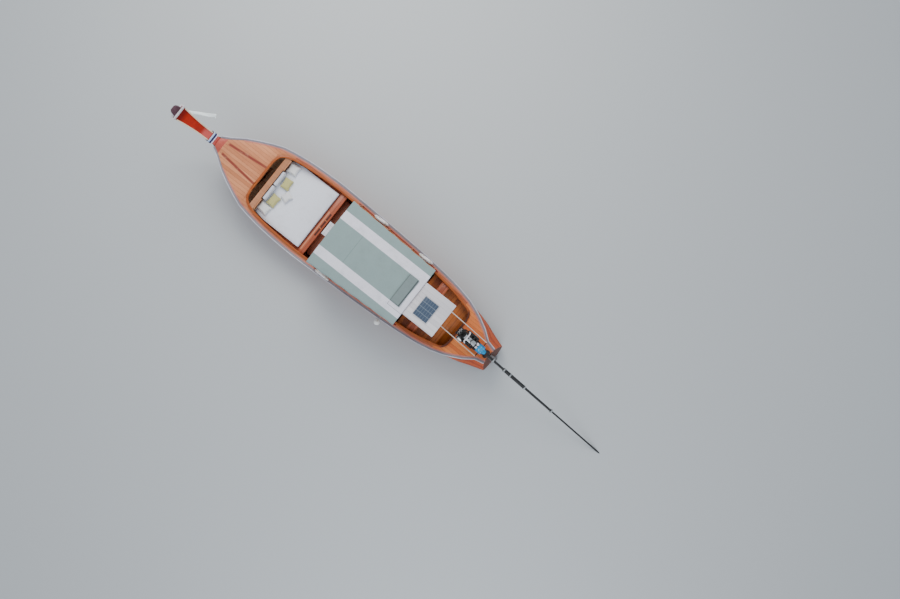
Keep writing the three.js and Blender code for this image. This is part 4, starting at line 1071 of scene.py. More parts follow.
def ribbon(name: str, rows: Sequence[Sequence[Point]]) -> Thing:
    """Makes a sheet from rows of points, with UV in metres along and across it.

    Args:
        name: The piece's name.
        rows: Rows of equal length, each across the sheet.

    Returns:
        The sheet, one face thick.
    """
    wide = len(rows[0])
    faces = [
        (i * wide + j, i * wide + j + 1, (i + 1) * wide + j + 1, (i + 1) * wide + j)
        for i in range(len(rows) - 1) for j in range(wide - 1)
    ]
    mesh = bpy.data.meshes.new(name)
    mesh.from_pydata([tuple(point) for row in rows for point in row], [], faces)
    mesh.update()
    piece = bpy.data.objects.new(name, mesh)
    bpy.context.collection.objects.link(piece)
    runs = [0.0]
    middle = [Vector(row[wide // 2]) for row in rows]
    for before, after in zip(middle, middle[1:]):
        runs.append(runs[-1] + (after - before).length)
    across = [(Vector(point) - Vector(rows[0][0])).length for point in rows[0]]
    layer = mesh.uv_layers.new(name="UVMap")
    for loop in mesh.loops:
        row, column = divmod(loop.vertex_index, wide)
        layer.data[loop.index].uv = (runs[row], across[column])
    return smoothed(piece)


def length(points: Sequence[Point]) -> float:
    """The length of a line through some points."""
    return sum((Vector(b) - Vector(a)).length for a, b in zip(points, points[1:]))


@dataclass
class Yard:
    """What every sub-assembly needs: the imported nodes, their slots and the finishes."""

    nodes: dict[str, Thing]
    slots: dict[str, str]
    paints: Paintbox

    def copy(self, node: str) -> Thing:
        """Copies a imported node's mesh into a new object and merges its loose corners.

        Args:
            node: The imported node.

        Returns:
            The copy.
        """
        piece = bpy.data.objects.new(f"{node}_dressed", self.nodes[node].data.copy())
        bpy.context.collection.objects.link(piece)
        with editing(piece):
            bpy.ops.mesh.remove_doubles(threshold=SAME_PLACE * 10)
        return piece

    def launch(self, piece: Thing, finish: str, slot: str, *stands_for: str,
               body: str = "hull") -> Thing:
        """Gives a finished piece its material and its body.

        Args:
            piece: The finished piece.
            finish: The name of its finish.
            slot: The record's material slot; not used.
            stands_for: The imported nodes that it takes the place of.
            body: The body that it rides on.

        Returns:
            The same piece.
        """
        self.paints.coat(piece, finish)
        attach(piece, body)
        if stands_for:
            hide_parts(*stands_for)
        log.info("%s: %s faces, %s", piece.name, len(piece.data.polygons), finish)
        return piece

    def stand_in(self, piece: Thing, finish: str, node: str) -> Thing:
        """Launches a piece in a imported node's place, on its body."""
        body = self.nodes[node]["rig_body"]
        return self.launch(piece, finish, self.slots[node], node, body=body)

    def dress(self, node: str, finish: str, width: float = 0.006, segments: int = 2) -> Thing:
        """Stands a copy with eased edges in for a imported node.

        Args:
            node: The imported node.
            finish: The name of its finish.
            width: Width of the eased edges.
            segments: Faces across each eased edge.

        Returns:
            The copy.
        """
        return self.stand_in(ease(self.copy(node), width, segments), finish, node)


def between(rows: Sequence[Sequence[float]], x: float) -> list[float]:
    """Reads a table of stations at a place between two of them.

    Args:
        rows: The stations from aft to forward, each with its place first.
        x: The place.

    Returns:
        The other values there.
    """
    i = max(0, min(len(rows) - 2, sum(row[0] < x for row in rows) - 1))
    a, b = rows[i], rows[i + 1]
    share = (x - a[0]) / (b[0] - a[0])
    return [first + share * (second - first) for first, second in zip(a[1:], b[1:])]


def pair(node: str, *rest: object) -> tuple[tuple, tuple]:
    """Writes one row of a table for the port and for the starboard node.

    Args:
        node: What the two nodes' names start with.
        rest: The rest of the row.

    Returns:
        The port row and the starboard row.
    """
    port, starboard = ((f"{node}_{side.word}", *rest) for side in Side)
    return port, starboard


@dataclass
class HullLines:
    """The boat's own lines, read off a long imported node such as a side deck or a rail.

    Attributes:
        yard: Where the node is found.
        node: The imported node, on the port side.
        fewest: How few corners a station may have, so that the ends of frames are passed over.
        rows: Place along the hull, nearer and farther edge, and top, from aft to forward.
    """

    yard: Yard
    node: str = "side_deck_port"
    fewest: int = 4
    rows: list[tuple[float, float, float, float]] = field(default_factory=list)

    def __post_init__(self) -> None:
        """Reads, at each place along the hull, the node's two edges and its top."""
        found: dict[float, set[tuple[float, float]]] = {}
        for corner in self.yard.nodes[self.node].data.vertices:
            x, y, z = corner.co
            found.setdefault(round(x, 2), set()).add((round(y, 3), round(z, 3)))
        for x, corners in sorted(found.items()):
            if len(corners) >= self.fewest:
                wide = [y for y, _ in corners]
                self.rows.append((x, min(wide), max(wide), max(z for _, z in corners)))

    def at(self, x: float) -> Point:
        """The node's nearer edge, its farther edge and its top at a place along the hull."""
        inner, outer, top = between(self.rows, x)
        return inner, outer, top


@dataclass
class Hull:
    """Planking, keel, decks, coamings and rails.

    Attributes:
        yard: The shared nodes, slots and finishes.
        planking: Each planked node, its finish and how many planks lie side by side.
        joinery: Each other node, its finish and the width of its eased edges.
        board_top: Height of the headboard's own top, under the coaming's rounded end.
        board_aft: The headboard's after face.
        ring_aft: The after side of the coaming's after end.
        fore_corners: The cap's bend round the forward end, along and across.
        aft_corners: Its bend round the after end.
        cap: Width and height of the cap.
        rise: How far the cap's after end stands above the deck.
        strip: The painted strip's offset inside the rail, width, height and lift.
        stem: Where the strip ends.
        bead: The bead's offset inside the rail's edge, radius and drop.
        slat: The slats' two ends, half-width, and reach below and above the bench.
        slat_places: Where they lie across the boat.
        ledge: Where the narrow boards start and end across the boat.
        ledge_size: Their width and thickness.
    """

    yard: Yard
    planking: tuple[tuple[str, str, int], ...] = (
        *pair("side_planking", "hull_planks", 8),
        ("bottom_planking", "bottom_oxide", 7),
    )
    joinery: tuple[tuple[str, str, float], ...] = (
        ("keel", "keel_oxide", 0.01),
        ("foredeck", "foredeck_planks", 0.006),
        ("breasthook", "breasthook_paint", 0.008),
        *pair("side_deck", "side_deck_planks", 0.004),
        *pair("coaming", "coaming_varnish", 0.008),
        *pair("rub_rail", "rail_paint", 0.01),
        ("transom", "hull_planks", 0.006),
        ("sternpost", "grey_paint", 0.012),
        ("cabin_sole", "cabin_planks", 0.0),
        ("aft_sole", "well_planks", 0.0),
        ("sunbed_platform", "bench_varnish", 0.004),
        ("companion_bench", "bench_varnish", 0.008),
        ("step", "dark_timber", 0.006),
        *pair("side_bench", "cabin_planks", 0.006),
        ("aft_thwart", "bench_varnish", 0.008),
        *pair("frames", "frame_varnish", 0.004),
    )
    board_top: float = 1.27
    board_aft: float = 3.465
    ring_aft: float = -4.935
    fore_corners: tuple[tuple[float, float], ...] = (
        (3.497, 1.13), (3.612, 1.089), (3.708, 1.032), (3.785, 0.964), (3.843, 0.877),
        (3.88, 0.765), (3.902, 0.61), (3.902, 0.3),
    )
    aft_corners: tuple[tuple[float, float], ...] = (
        (-4.674, 0.856), (-4.77, 0.808), (-4.835, 0.744), (-4.878, 0.65), (-4.898, 0.538),
        (-4.913, 0.42), (-4.913, 0.2),
    )
    cap: tuple[float, float] = (0.076, 0.02)
    rise: float = 0.057
    strip: tuple[float, float, float, float] = (0.026, 0.048, 0.012, 0.001)
    stem: float = 5.4
    bead: Point = (0.018, 0.017, 0.002)
    slat: tuple[float, float, float, float, float] = (1.19, 1.29, 0.016, 0.002, 0.006)
    slat_places: tuple[float, ...] = (-0.16, 0.17)
    ledge: Limits = (0.635, 1.075)
    ledge_size: Limits = (0.048, 0.022)

    def build(self) -> None:
        """Dresses every fixed timber of the hull."""
        for node, finish, strakes in self.planking:
            self.plank(node, finish, strakes)
        for node, finish, width in self.joinery:
            self.yard.dress(node, finish, width)
        lines = HullLines(self.yard)
        self.ends(lines)
        self.slats()
        self.ledges()
        self.coaming_cap(lines)
        self.rail_trim()

    def ends(self, deck: HullLines) -> None:
        """Dresses the headboard and the after deck, each with its end of the coaming varnished.

        Args:
            deck: The side deck's lines, which the coaming's ends rise above.
        """

        def aft_ring(centre: Vector, normal: Vector) -> bool:
            """Picks the after deck's faces on the coaming's after end."""
            steep = abs(normal.z) < 0.5
            return centre.x > self.ring_aft and (steep or centre.z > deck.at(centre.x)[2] + 0.03)

        board = self.yard.dress("headboard", "headboard_varnish", 0.008)
        paints = self.yard.paints
        paints.recoat(board, "coaming_varnish", lambda centre, _: centre.z > self.board_top)
        after = self.yard.dress("aft_deck", "aft_deck_planks")
        paints.recoat(after, "coaming_varnish", aft_ring)

    def coaming_cap(self, deck: HullLines) -> None:
        """Runs a wider cap along the top of the coaming, round both of its ends.

        Args:
            deck: The side deck's lines, which the coaming's ends rise above.
        """
        board = self.yard.nodes["headboard"].data
        corners = sorted((vertex.co for vertex in board.vertices), key=lambda corner: corner.z)
        # the highest corner comes last, so it is the one that stays at each place
        tops = {round(corner.x, 2): corner.z for corner in corners}
        marks = sorted((x, z) for x, z in tops.items() if z > self.board_top + 0.02)
        half = []
        for x, y in reversed(self.fore_corners):
            near = min(marks, key=lambda mark: abs(mark[0] - x))
            half.append((x, y, near[1]))
        sides = HullLines(self.yard, "coaming_port")
        half += [(x, (inner + outer) / 2, top) for x, inner, outer, top in reversed(sides.rows)]
        half += [(x, y, deck.at(x)[2] + self.rise) for x, y in self.aft_corners]
        loop = [*half, *[(x, -y, z) for x, y, z in reversed(half)]]
        loop = [(x, y, z + self.cap[1] * 0.3) for x, y, z in loop]
        piece = moulding("coaming_cap", [*loop, loop[0]], *self.cap)
        self.yard.launch(piece, "coaming_varnish", "varnished_wood")

    def rail_trim(self) -> None:
        """Lays a painted strip over the rail's inner joint and a pale bead on its outer edge."""
        inset, width, height, lift = self.strip
        back, radius, drop = self.bead
        rows = HullLines(self.yard, "rub_rail_port", 7).rows
        for side in Side:
            sign = side.value
            line = [
                (x, sign * (inner - inset), top + lift) for x, inner, _, top in rows if x < self.stem
            ]
            strip = moulding(f"planksheer_{side.word}", line, width, height)
            self.yard.launch(strip, "planksheer_paint", "rail_paint")
            line = [(x, sign * (outer - back), top - drop) for x, _, outer, top in rows]
            bead = pipe(f"rail_bead_{side.word}", line, radius, 2, False)
            self.yard.launch(bead, "bead_paint", "rail_paint")

    def slats(self) -> None:
        """Lays two thin slats across the dark band painted on the bench as the shade of a slot."""
        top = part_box("companion_bench")[1].z
        aft, fore, half, below, above = self.slat
        bars = [
            box("slat", (aft, y - half, top - below), (fore, y + half, top + above), 0.003)
            for y in self.slat_places
        ]
        self.yard.launch(joined("bench_slats", bars), "frame_varnish", "varnished_wood")

    def ledges(self) -> None:
        """Closes the headboard's after side with a narrow board beside each back cushion."""
        fore, top = self.board_aft - 0.002, self.board_top - 0.008
        width, thick = self.ledge_size
        boards = []
        for side in Side:
            near, far = sorted(side.value * end for end in self.ledge)
            low, high = (fore - width, near, top - thick), (fore, far, top)
            boards.append(box(f"ledge_{side.word}", low, high))
        piece = joined("headboard_ledges", boards)
        self.yard.launch(piece, "headboard_varnish", "varnished_wood")

    def plank(self, node: str, finish: str, strakes: int) -> None:
        """Dresses a run of planking, with a map that follows the strakes from keel to sheer.

        Args:
            node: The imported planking.
            finish: The name of its finish.
            strakes: How many planks lie side by side on it.
        """

        def looks_inboard(centre: Vector, normal: Vector) -> bool:
            """Picks the faces on the planking's inner side."""
            if node == "bottom_planking":
                return normal.z > 0.3
            return centre.y * normal.y < -0.2

        piece = ease(self.yard.copy(node), 0.0, angle=35)
        found: dict[float, list[float]] = {}
        for corner in piece.data.vertices:
            found.setdefault(round(corner.co.x, 3), []).append(corner.co.z)
        spans = [(x, min(z), max(z)) for x, z in sorted(found.items()) if len(z) >= 6]
        layer = piece.data.uv_layers.new(name="strakes")
        for loop in piece.data.loops:
            place = piece.data.vertices[loop.vertex_index].co
            low, high = between(spans, place.x)
            height = (place.z - low) / max(0.01, high - low)
            layer.data[loop.index].uv = (place.x, strakes * height)
        self.yard.stand_in(piece, finish, node)
        self.yard.paints.recoat(piece, "cabin_planks", looks_inboard)


@dataclass
class Prow:
    """The swept-up prow with its edging, the cloth round its neck, the white band and the streamer.

    Attributes:
        yard: The shared nodes, slots and finishes.
        line: The prow's line, neck to tip: place along and up, width and thickness.
        bead: Half the edging's thickness.
        bead_in: How far the edging lies inside the prow's side.
        neck: Where the sash starts and ends, along and up.
        neck_size: Half the width and half the depth of the sash.
        streamer: Where the streamer's middle runs.
        streamer_across: The direction across the streamer.
        streamer_half: Half its width.
    """

    yard: Yard
    line: tuple[tuple[float, float, float, float], ...] = (
        (5.83, 1.75, 0.33, 0.2), (6.0, 1.925, 0.32, 0.17), (6.23, 2.17, 0.31, 0.15),
        (6.48, 2.47, 0.36, 0.135), (6.68, 2.77, 0.43, 0.122), (6.775, 2.95, 0.48, 0.115),
        (6.83, 3.085, 0.5, 0.11),
    )
    bead: float = 0.021
    bead_in: float = 0.008
    neck: tuple[tuple[float, float], ...] = ((5.862, 1.783), (5.98, 1.904))
    neck_size: tuple[float, float] = (0.196, 0.122)
    streamer: tuple[Point, ...] = (
        (6.66, -0.2, 2.77), (6.56, -0.275, 2.72), (6.42, -0.38, 2.66), (6.28, -0.47, 2.6),
        (6.15, -0.555, 2.55), (6.05, -0.625, 2.52), (5.985, -0.675, 2.49), (5.99, -0.62, 2.47),
    )
    streamer_across: Point = (0.48, -0.84, 0.25)
    streamer_half: float = 0.055

    def build(self) -> None:
        """Builds the whole bow ornament."""
        self.yard.dress("stem_and_prow", "prow_red", 0.014, 3)
        self.yard.dress("prow_nose", "nose_paint", 0.02, 3)
        self.yard.dress("prow_band", "white_paint", 0.01)
        self.edging()
        self.sash()
        self.stream()

    def frame(self, i: int) -> tuple[Vector, Vector]:
        """Reads the prow's line at one of its rows.

        Args:
            i: The row.

        Returns:
            The place there and the direction square to the line.
        """
        x, z = self.line[i][:2]
        before, after = self.line[max(i - 1, 0)], self.line[min(i + 1, len(self.line) - 1)]
        run = Vector((after[0] - before[0], 0, after[1] - before[1])).normalized()
        return Vector((x, 0, z)), Vector((-run.z, 0, run.x))

    def edging(self) -> None:
        """Lays a pale bead along each upper edge of the prow."""
        beads = []
        for side in Side:
            points = []
            for i, (_, _, width, thick) in enumerate(self.line[1:-1], 1):
                place, up = self.frame(i)
                out = Vector((0, side.value * (width / 2 - self.bead_in), 0))
                points.append(tuple(place + up * (thick / 2 + self.bead * 0.3) + out))
            beads.append(pipe(f"prow_edging_{side.word}", points, self.bead))
        self.yard.launch(joined("prow_edging", beads), "gold_edging", "rail_paint")

    def sash(self) -> None:
        """Winds one cloth, dyed in three bands, round the prow's neck, with a fold to each band."""
        rows, around, square = 14, 44, 6
        first, last = (Vector((x, 0, z)) for x, z in self.neck)
        up = self.frame(0)[1]
        lines = []
        for i in range(rows + 1):
            share = i / rows
            place = first.lerp(last, share)
            fold = 0.006 + 0.005 * abs(math.sin(share * math.pi * 3))
            half, thick = (size + fold for size in self.neck_size)
            ring = []
            for j in range(around):
                angle = math.tau * j / around
                cosine, sine = math.cos(angle), math.sin(angle)
                reach = (abs(cosine) ** square + abs(sine) ** square) ** (-1 / square)
                wave = 1 + 0.004 * math.sin(9 * angle + 7 * share)
                out = Vector((0, half * cosine * reach * wave, 0))
                ring.append(tuple(place + out + up * thick * sine * reach * wave))
            lines.append([*ring, ring[0]])
        piece = ribbon("sash_wound", lines)
        with editing(piece):
            bpy.ops.mesh.normals_make_consistent(inside=False)
        modify(piece, "SOLIDIFY", thickness=0.005)
        self.yard.launch(piece, "sash_cotton", "sash_cloth", "neck_sash")

    def blown(self, steps: int = 9) -> list[Vector]:
        """Rounds the streamer's line into a smooth one through all of its points.

        Args:
            steps: How many places there are from one point to the next.

        Returns:
            The places, from the prow's tip to the streamer's end.
        """
        points = [Vector(point) for point in self.streamer]
        last = len(points) - 1
        places = []
        for i in range(last * steps + 1):
            n = min(i // steps, last - 1)
            share = i / steps - n
            before, after = points[max(n - 1, 0)], points[min(n + 2, last)]
            a, b = points[n], points[n + 1]
            places.append(0.5 * (
                2 * a + (b - before) * share + (2 * before - 5 * a + 4 * b - after) * share ** 2
                + (3 * a - before - 3 * b + after) * share ** 3
            ))
        return places

    def stream(self) -> None:
        """Blows a narrow cloth aft from the prow's tip, with a small curl at its end."""
        places = self.blown()
        wide = Vector(self.streamer_across).normalized() * self.streamer_half
        rows = []
        for i, place in enumerate(places):
            run = i / (len(places) - 1)
            flutter = 0.018 * math.sin(run * 15) * run
            row = []
            for t in (-1, -0.5, 0, 0.5, 1):
                wave = Vector((0, flutter * (1 - t * t), 0.012 * math.sin(9 * run + 2 * t)))
                row.append(tuple(place + wide * t + wave))
            rows.append(row)
        piece = ribbon("streamer_cloth", rows)
        modify(piece, "SOLIDIFY", thickness=0.003)
        self.yard.launch(piece, "streamer_cotton", "white_cloth", "streamer")


@dataclass(frozen=True)
class Pad:
    """One kind of stuffed piece: what it stands for and how it is filled.

    Attributes:
        nodes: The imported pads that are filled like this.
        finish: The name of their finish.
        voxel: Size of the faces that are filled.
        cap: How far a corner may move in filling.
        shrink: Size before filling, as a share of the solid's.
        fill: How full the pad is.
        fine: Whether the filled mesh gets smaller, smoother faces.
        seam: Height of the piping, as a share of the pad's.
        steps: How many points the piping runs through at most.
        fits: The finished width and length, as a share of the solid's.
    """

    nodes: tuple[str, ...]
    finish: str
    voxel: float = 0.014
    cap: float = 0.024
    shrink: Point = (0.93, 0.93, 0.74)
    fill: float = 0.6
    fine: bool = True
    seam: float = 0.5
    steps: int = 48
    fits: float = 0.994


@dataclass
class Sunbed:
    """The mattress and its cushions, swollen by simulation and piped along their seams.

    Attributes:
        yard: The shared nodes, slots and finishes.
        pads: The kinds of pad.
        piping: Half the piping's thickness.
        pressure: What swells the cloth.
        frames: How long it swells.
    """

    yard: Yard
    pads: tuple[Pad, ...] = (
        Pad(("mattress",), "mattress_canvas", 0.022, 0.014, (0.99, 0.99, 0.9), 0.8, False, 0.82, 120),
        Pad(("back_cushion_port", "back_cushion_starboard"), "cushion_canvas", cap=0.02,
            shrink=(0.86, 0.94, 0.93), fill=0.75),
        Pad(("corner_pillow_port", "corner_pillow_starboard"), "white_cotton"),
        Pad(("lime_pillow_port", "lime_pillow_starboard"), "lime_cotton"),
        Pad(("centre_pillow",), "white_cotton"),
    )
    piping: float = 0.005
    pressure: float = 4.0
    frames: int = 20

    def build(self) -> None:
        """Makes every pad with its piping."""
        for pad in self.pads:
            for node in pad.nodes:
                piece = self.yard.stand_in(self.stuffed(node, pad), pad.finish, node)
                self.yard.launch(self.piped(piece, node, pad), pad.finish, self.yard.slots[node])

    def stuffed(self, node: str, pad: Pad) -> Thing:
        """Fills one pad from a slightly smaller copy of its solid.

        Args:
            node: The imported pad.
            pad: How it is filled.

        Returns:
            The pad, resting where its solid rests and as wide and long as it.
        """
        low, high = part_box(node)
        middle = (low + high) / 2
        middle.z = low.z
        piece = self.yard.copy(node)
        piece.data.transform(at(*middle) @ Matrix.Diagonal((*pad.shrink, 1)) @ at(*-middle))
        modify(piece, "REMESH", mode="VOXEL", voxel_size=pad.voxel)
        rest = [v.co.copy() for v in piece.data.vertices]
        swollen = self.swollen(piece)
        places = []
        for start, end in zip(rest, swollen):
            move = end - start
            places.append(start + move * min(1.0, pad.cap / max(move.length, SAME_PLACE)))
        for axis in (0, 1):  # the pressure draws a pad in, so it is spread to the solid's size
            near, far = min(p[axis] for p in places), max(p[axis] for p in places)
            stretch = pad.fits * (high[axis] - low[axis]) / (far - near)
            for place in places:
                place[axis] = middle[axis] + (place[axis] - (near + far) / 2) * stretch
        for vertex, place in zip(piece.data.vertices, places):
            vertex.co = [min(max(p, a), b) for p, a, b in zip(place, low, high)]
        if pad.fine:
            modify(piece, "SUBSURF", levels=1, render_levels=1)
        return smoothed(piece)

    def swollen(self, piece: Thing) -> list[Vector]:
        """Runs the cloth under pressure and reads where each corner goes.

        Args:
            piece: The pad before it is filled, which stays as it is.

        Returns:
            The corners' places.
        """
        cloth = piece.modifiers.new("cloth", "CLOTH")
        cloth.settings.use_pressure = True
        cloth.settings.uniform_pressure_force = self.pressure
        cloth.settings.effector_weights.gravity = 0
        cloth.settings.quality = 4
        scene = bpy.context.scene
        for frame in range(1, self.frames + 1):
            scene.frame_set(frame)
        state = piece.evaluated_get(bpy.context.evaluated_depsgraph_get())
        places = [v.co.copy() for v in state.data.vertices]
        piece.modifiers.remove(cloth)
        scene.frame_set(1)
        return places

    def piped(self, piece: Thing, node: str, pad: Pad) -> Thing:
        """Runs piping round a pad's seam.

        Args:
            piece: The filled pad.
            node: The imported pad.
            pad: How it was filled.

        Returns:
            The piping.
        """
        low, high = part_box(node)
        middle = (low + high) / 2
        level = low.z + (high.z - low.z) * pad.seam
        reach: list[tuple[float, Vector]] = [(0.0, middle)] * pad.steps
        for vertex in piece.data.vertices:
            place = vertex.co
            if abs(place.z - level) > pad.voxel * 0.8:
                continue
            off = Vector((place.x - middle.x, place.y - middle.y))
            n = int((math.atan2(off.y, off.x) / math.tau % 1) * pad.steps) % pad.steps
            if off.length > reach[n][0]:
                reach[n] = (off.length, place)
        points = [(p.x, p.y, level) for far, p in reach if far]
        return pipe(f"{piece.name}_piping", [*points, points[0]], self.piping, 2)


@dataclass
class Awning:
    """The stretched canopy on its bows, the fold at its after end, the rear roof and the panel.

    Attributes:
        yard: The shared nodes, slots and finishes.
        timbers: Each node of the frame and the rear roof, its finish and the width of its eased edges.
        crown: Height of the canopy's sides.
        rise: How much higher its middle is.
        fore: Its forward end.
        aft: Its after end.
        half: Its half-width at both ends.
        bows: The first bow, the last one and how many there are.
        hem: How far its edges hang down.
        lift: How far it lies over the bows.
        draw: How far its edges are drawn in between bows.
        fold: The folded end's forward and after edges.
        fold_half: Its half-width.
        layer: From one of its layers to the next.
        rim: Width of the panel's frame.
    """

    yard: Yard
    timbers: tuple[tuple[str, str, float], ...] = (
        *pair("roof_frame", "frame_varnish", 0.005),
        ("roof_bows", "frame_varnish", 0.004),
        ("rear_roof", "white_paint", 0.005),
        ("roof_front_board", "white_paint", 0.004),
    )
    crown: float = 2.15
    rise: float = 0.07
    fore: float = 0.65
    aft: float = -3.01
    half: tuple[float, float] = (1.31, 1.18)
    bows: tuple[float, float, int] = (0.6, -2.96, 7)
    hem: float = 0.035
    lift: float = 0.009
    draw: float = 0.014
    fold: tuple[float, float] = (-2.405, -2.795)
    fold_half: float = 0.55
    layer: float = 0.0085
    rim: float = 0.01

    def build(self) -> None:
        """Builds the roof and all that carries it."""
        for node, finish, width in self.timbers:
            self.yard.dress(node, finish, width)
        self.canopy()
        self.folded()
        self.panel()
        self.lashings()

    def halfwidth(self, x: float) -> float:
        """The canopy's half-width at a place along it."""
        share = (x - self.fore) / (self.aft - self.fore)
        return self.half[0] + share * (self.half[1] - self.half[0])

    def surface(self, x: float, y: float) -> float:
        """Height of the bows' upper face at a place."""
        return self.crown + self.rise * (1 - (y / self.halfwidth(x)) ** 2)

    def between_bows(self, x: float) -> float:
        """How far a place is from the bows: 0 on a bow and 1 midway between two."""
        start, end, count = self.bows
        span = (x - start) / (end - start) * (count - 1)
        return math.sin(math.pi * span) ** 2 if 0 <= span <= count - 1 else 0.0

    def edge(self, x: float) -> float:
        """The half-width of the stretched cloth, which is drawn in between the bows."""
        return self.halfwidth(x) - self.draw * self.between_bows(x)

    def canopy(self) -> None:
        """Stretches one cloth over the bows, dipping between them, with its edges turned down."""
        long_steps, wide_steps, flare = 90, 44, 0.002
        rows = []
        for i in range(long_steps + 1):
            x = self.fore + (self.aft - self.fore) * i / long_steps
            slack, half = self.between_bows(x), self.edge(x)
            row = []
            for j in range(wide_steps + 1):
                y = half * (2 * j / wide_steps - 1)
                held = max(0.0, 1 - (abs(y) / (half - 0.06)) ** 4)
                dip = slack * held * (0.004 + 0.014 * (1 - math.exp(-((y / 0.2) ** 2))))
                row.append((x, y, self.surface(x, y) + self.lift - dip))
            (_, near, down), (_, far, low) = row[0], row[-1]
            first = [(x, near - flare, down - self.hem * t) for t in (1, 0.5)]
            last = [(x, far + flare, low - self.hem * t) for t in (0.5, 1)]
            rows.append([*first, *row, *last])
        piece = ribbon("awning_canopy", rows)
        modify(piece, "SOLIDIFY", thickness=0.003, offset=0)
        self.yard.launch(piece, "canopy_canvas", "canopy_cloth", "roof_canopy")
        ropes = [self.edge_rope(side) for side in Side]

    def edge_rope(self, side: Side, steps: int = 60) -> Thing:
        """Sews a bolt rope along one hem.

        Args:
            side: The side of the boat.
            steps: How many straight runs it has.

        Returns:
            The rope.
        """
        points = []
        for i in range(steps + 1):
            x = self.fore + (self.aft - self.fore) * i / steps
            y = self.edge(x)
            points.append((x, side.value * (y + 0.003), self.surface(x, y) + self.lift - self.hem))
        piece = pipe(f"canopy_rope_{side.word}", points, 0.006, 1)
        return self.yard.launch(piece, "pale_rope", "canopy_cloth")

    def fold_path(self, run: int = 16) -> list[tuple[float, float]]:
        """Draws the fold from the side: three layers with a round turn after the first two.

        Args:
            run: How many steps each layer has.

        Returns:
            Places along the boat and heights over the lowest layer.
        """
        fore, aft = self.fold
        bend = self.layer / 2
        path: list[tuple[float, float]] = []
        for n in range(3):
            places = [fore + (aft - fore) * i / run for i in range(run + 1)]
            up, way = n * self.layer, -1
            if n % 2:
                places.reverse()
                way = 1
            path += [(x, up) for x in places]
            if n < 2:
                path += [
                    (places[-1] + way * bend * math.sin(a), up + bend * (1 - math.cos(a)))
                    for a in (0.8, 1.57, 2.34)
                ]
        return path

    def folded(self) -> None:
        """Folds the spare end of the canopy back on itself in three layers."""
        steps, clear = 30, 0.0165
        rows = []
        for n, (x, up) in enumerate(self.fold_path()):
            row = []
            for j in range(steps + 1):
                y = self.fold_half * (2 * j / steps - 1)
                ripple = 0.0025 * math.sin(y * 23 + n * 0.13) + 0.0015 * math.sin(x * 90 + y * 5)
                height = self.surface(x, y) + clear + up + ripple * (up + 0.004) * 60
                row.append((x + 0.006 * math.sin(y * 4 + up * 90), y, height))
            rows.append(row)
        piece = ribbon("awning_fold", rows)
        modify(piece, "SOLIDIFY", thickness=0.0025)
        self.yard.launch(piece, "folded_canvas_cloth", "canopy_cloth", "folded_canvas")

    def panel(self) -> None:
        """Frames the solar panel and sinks its glass a little."""
        sunk, over = 0.006, 0.0005
        low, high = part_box("solar_panel")
        frame = box("solar_panel_frame", tuple(low), tuple(high), 0.0)
        with editing(frame, lambda _, normal: normal.z > 0.9):
            bpy.ops.mesh.inset(thickness=self.rim)
            bpy.ops.transform.translate(value=(0, 0, -sunk))
        ease(frame, 0.0015)
        self.yard.launch(frame, "bright_alloy", "bright_metal", "solar_panel")
        first = (low.x + self.rim, low.y + self.rim, high.z - sunk + over)
        last = (high.x - self.rim, high.y - self.rim, high.z - 0.0025)
        glass = box("solar_panel_glass", first, last, 0.0005)
        self.yard.launch(glass, "solar_cells", "solar_glass")

    def lashings(self) -> None:
        """Ties each bow's ends to the side rails with three turns of cord."""
        start, end, count = self.bows
        places = []
        for side in Side:
            for n in range(count):
                x = start + (end - start) * n / (count - 1)
                y = side.value * (self.halfwidth(x) - 0.06)
                places += [at(x + off, y, self.surface(x, y) - 0.04) for off in (-0.03, 0.0, 0.03)]
        loop = hoop("lashing", (0, 0, 0), 0.036, 0.004, AHEAD, 20)
        self.yard.launch(joined("bow_lashings", copies(loop, places)), "pale_rope", "canopy_cloth")


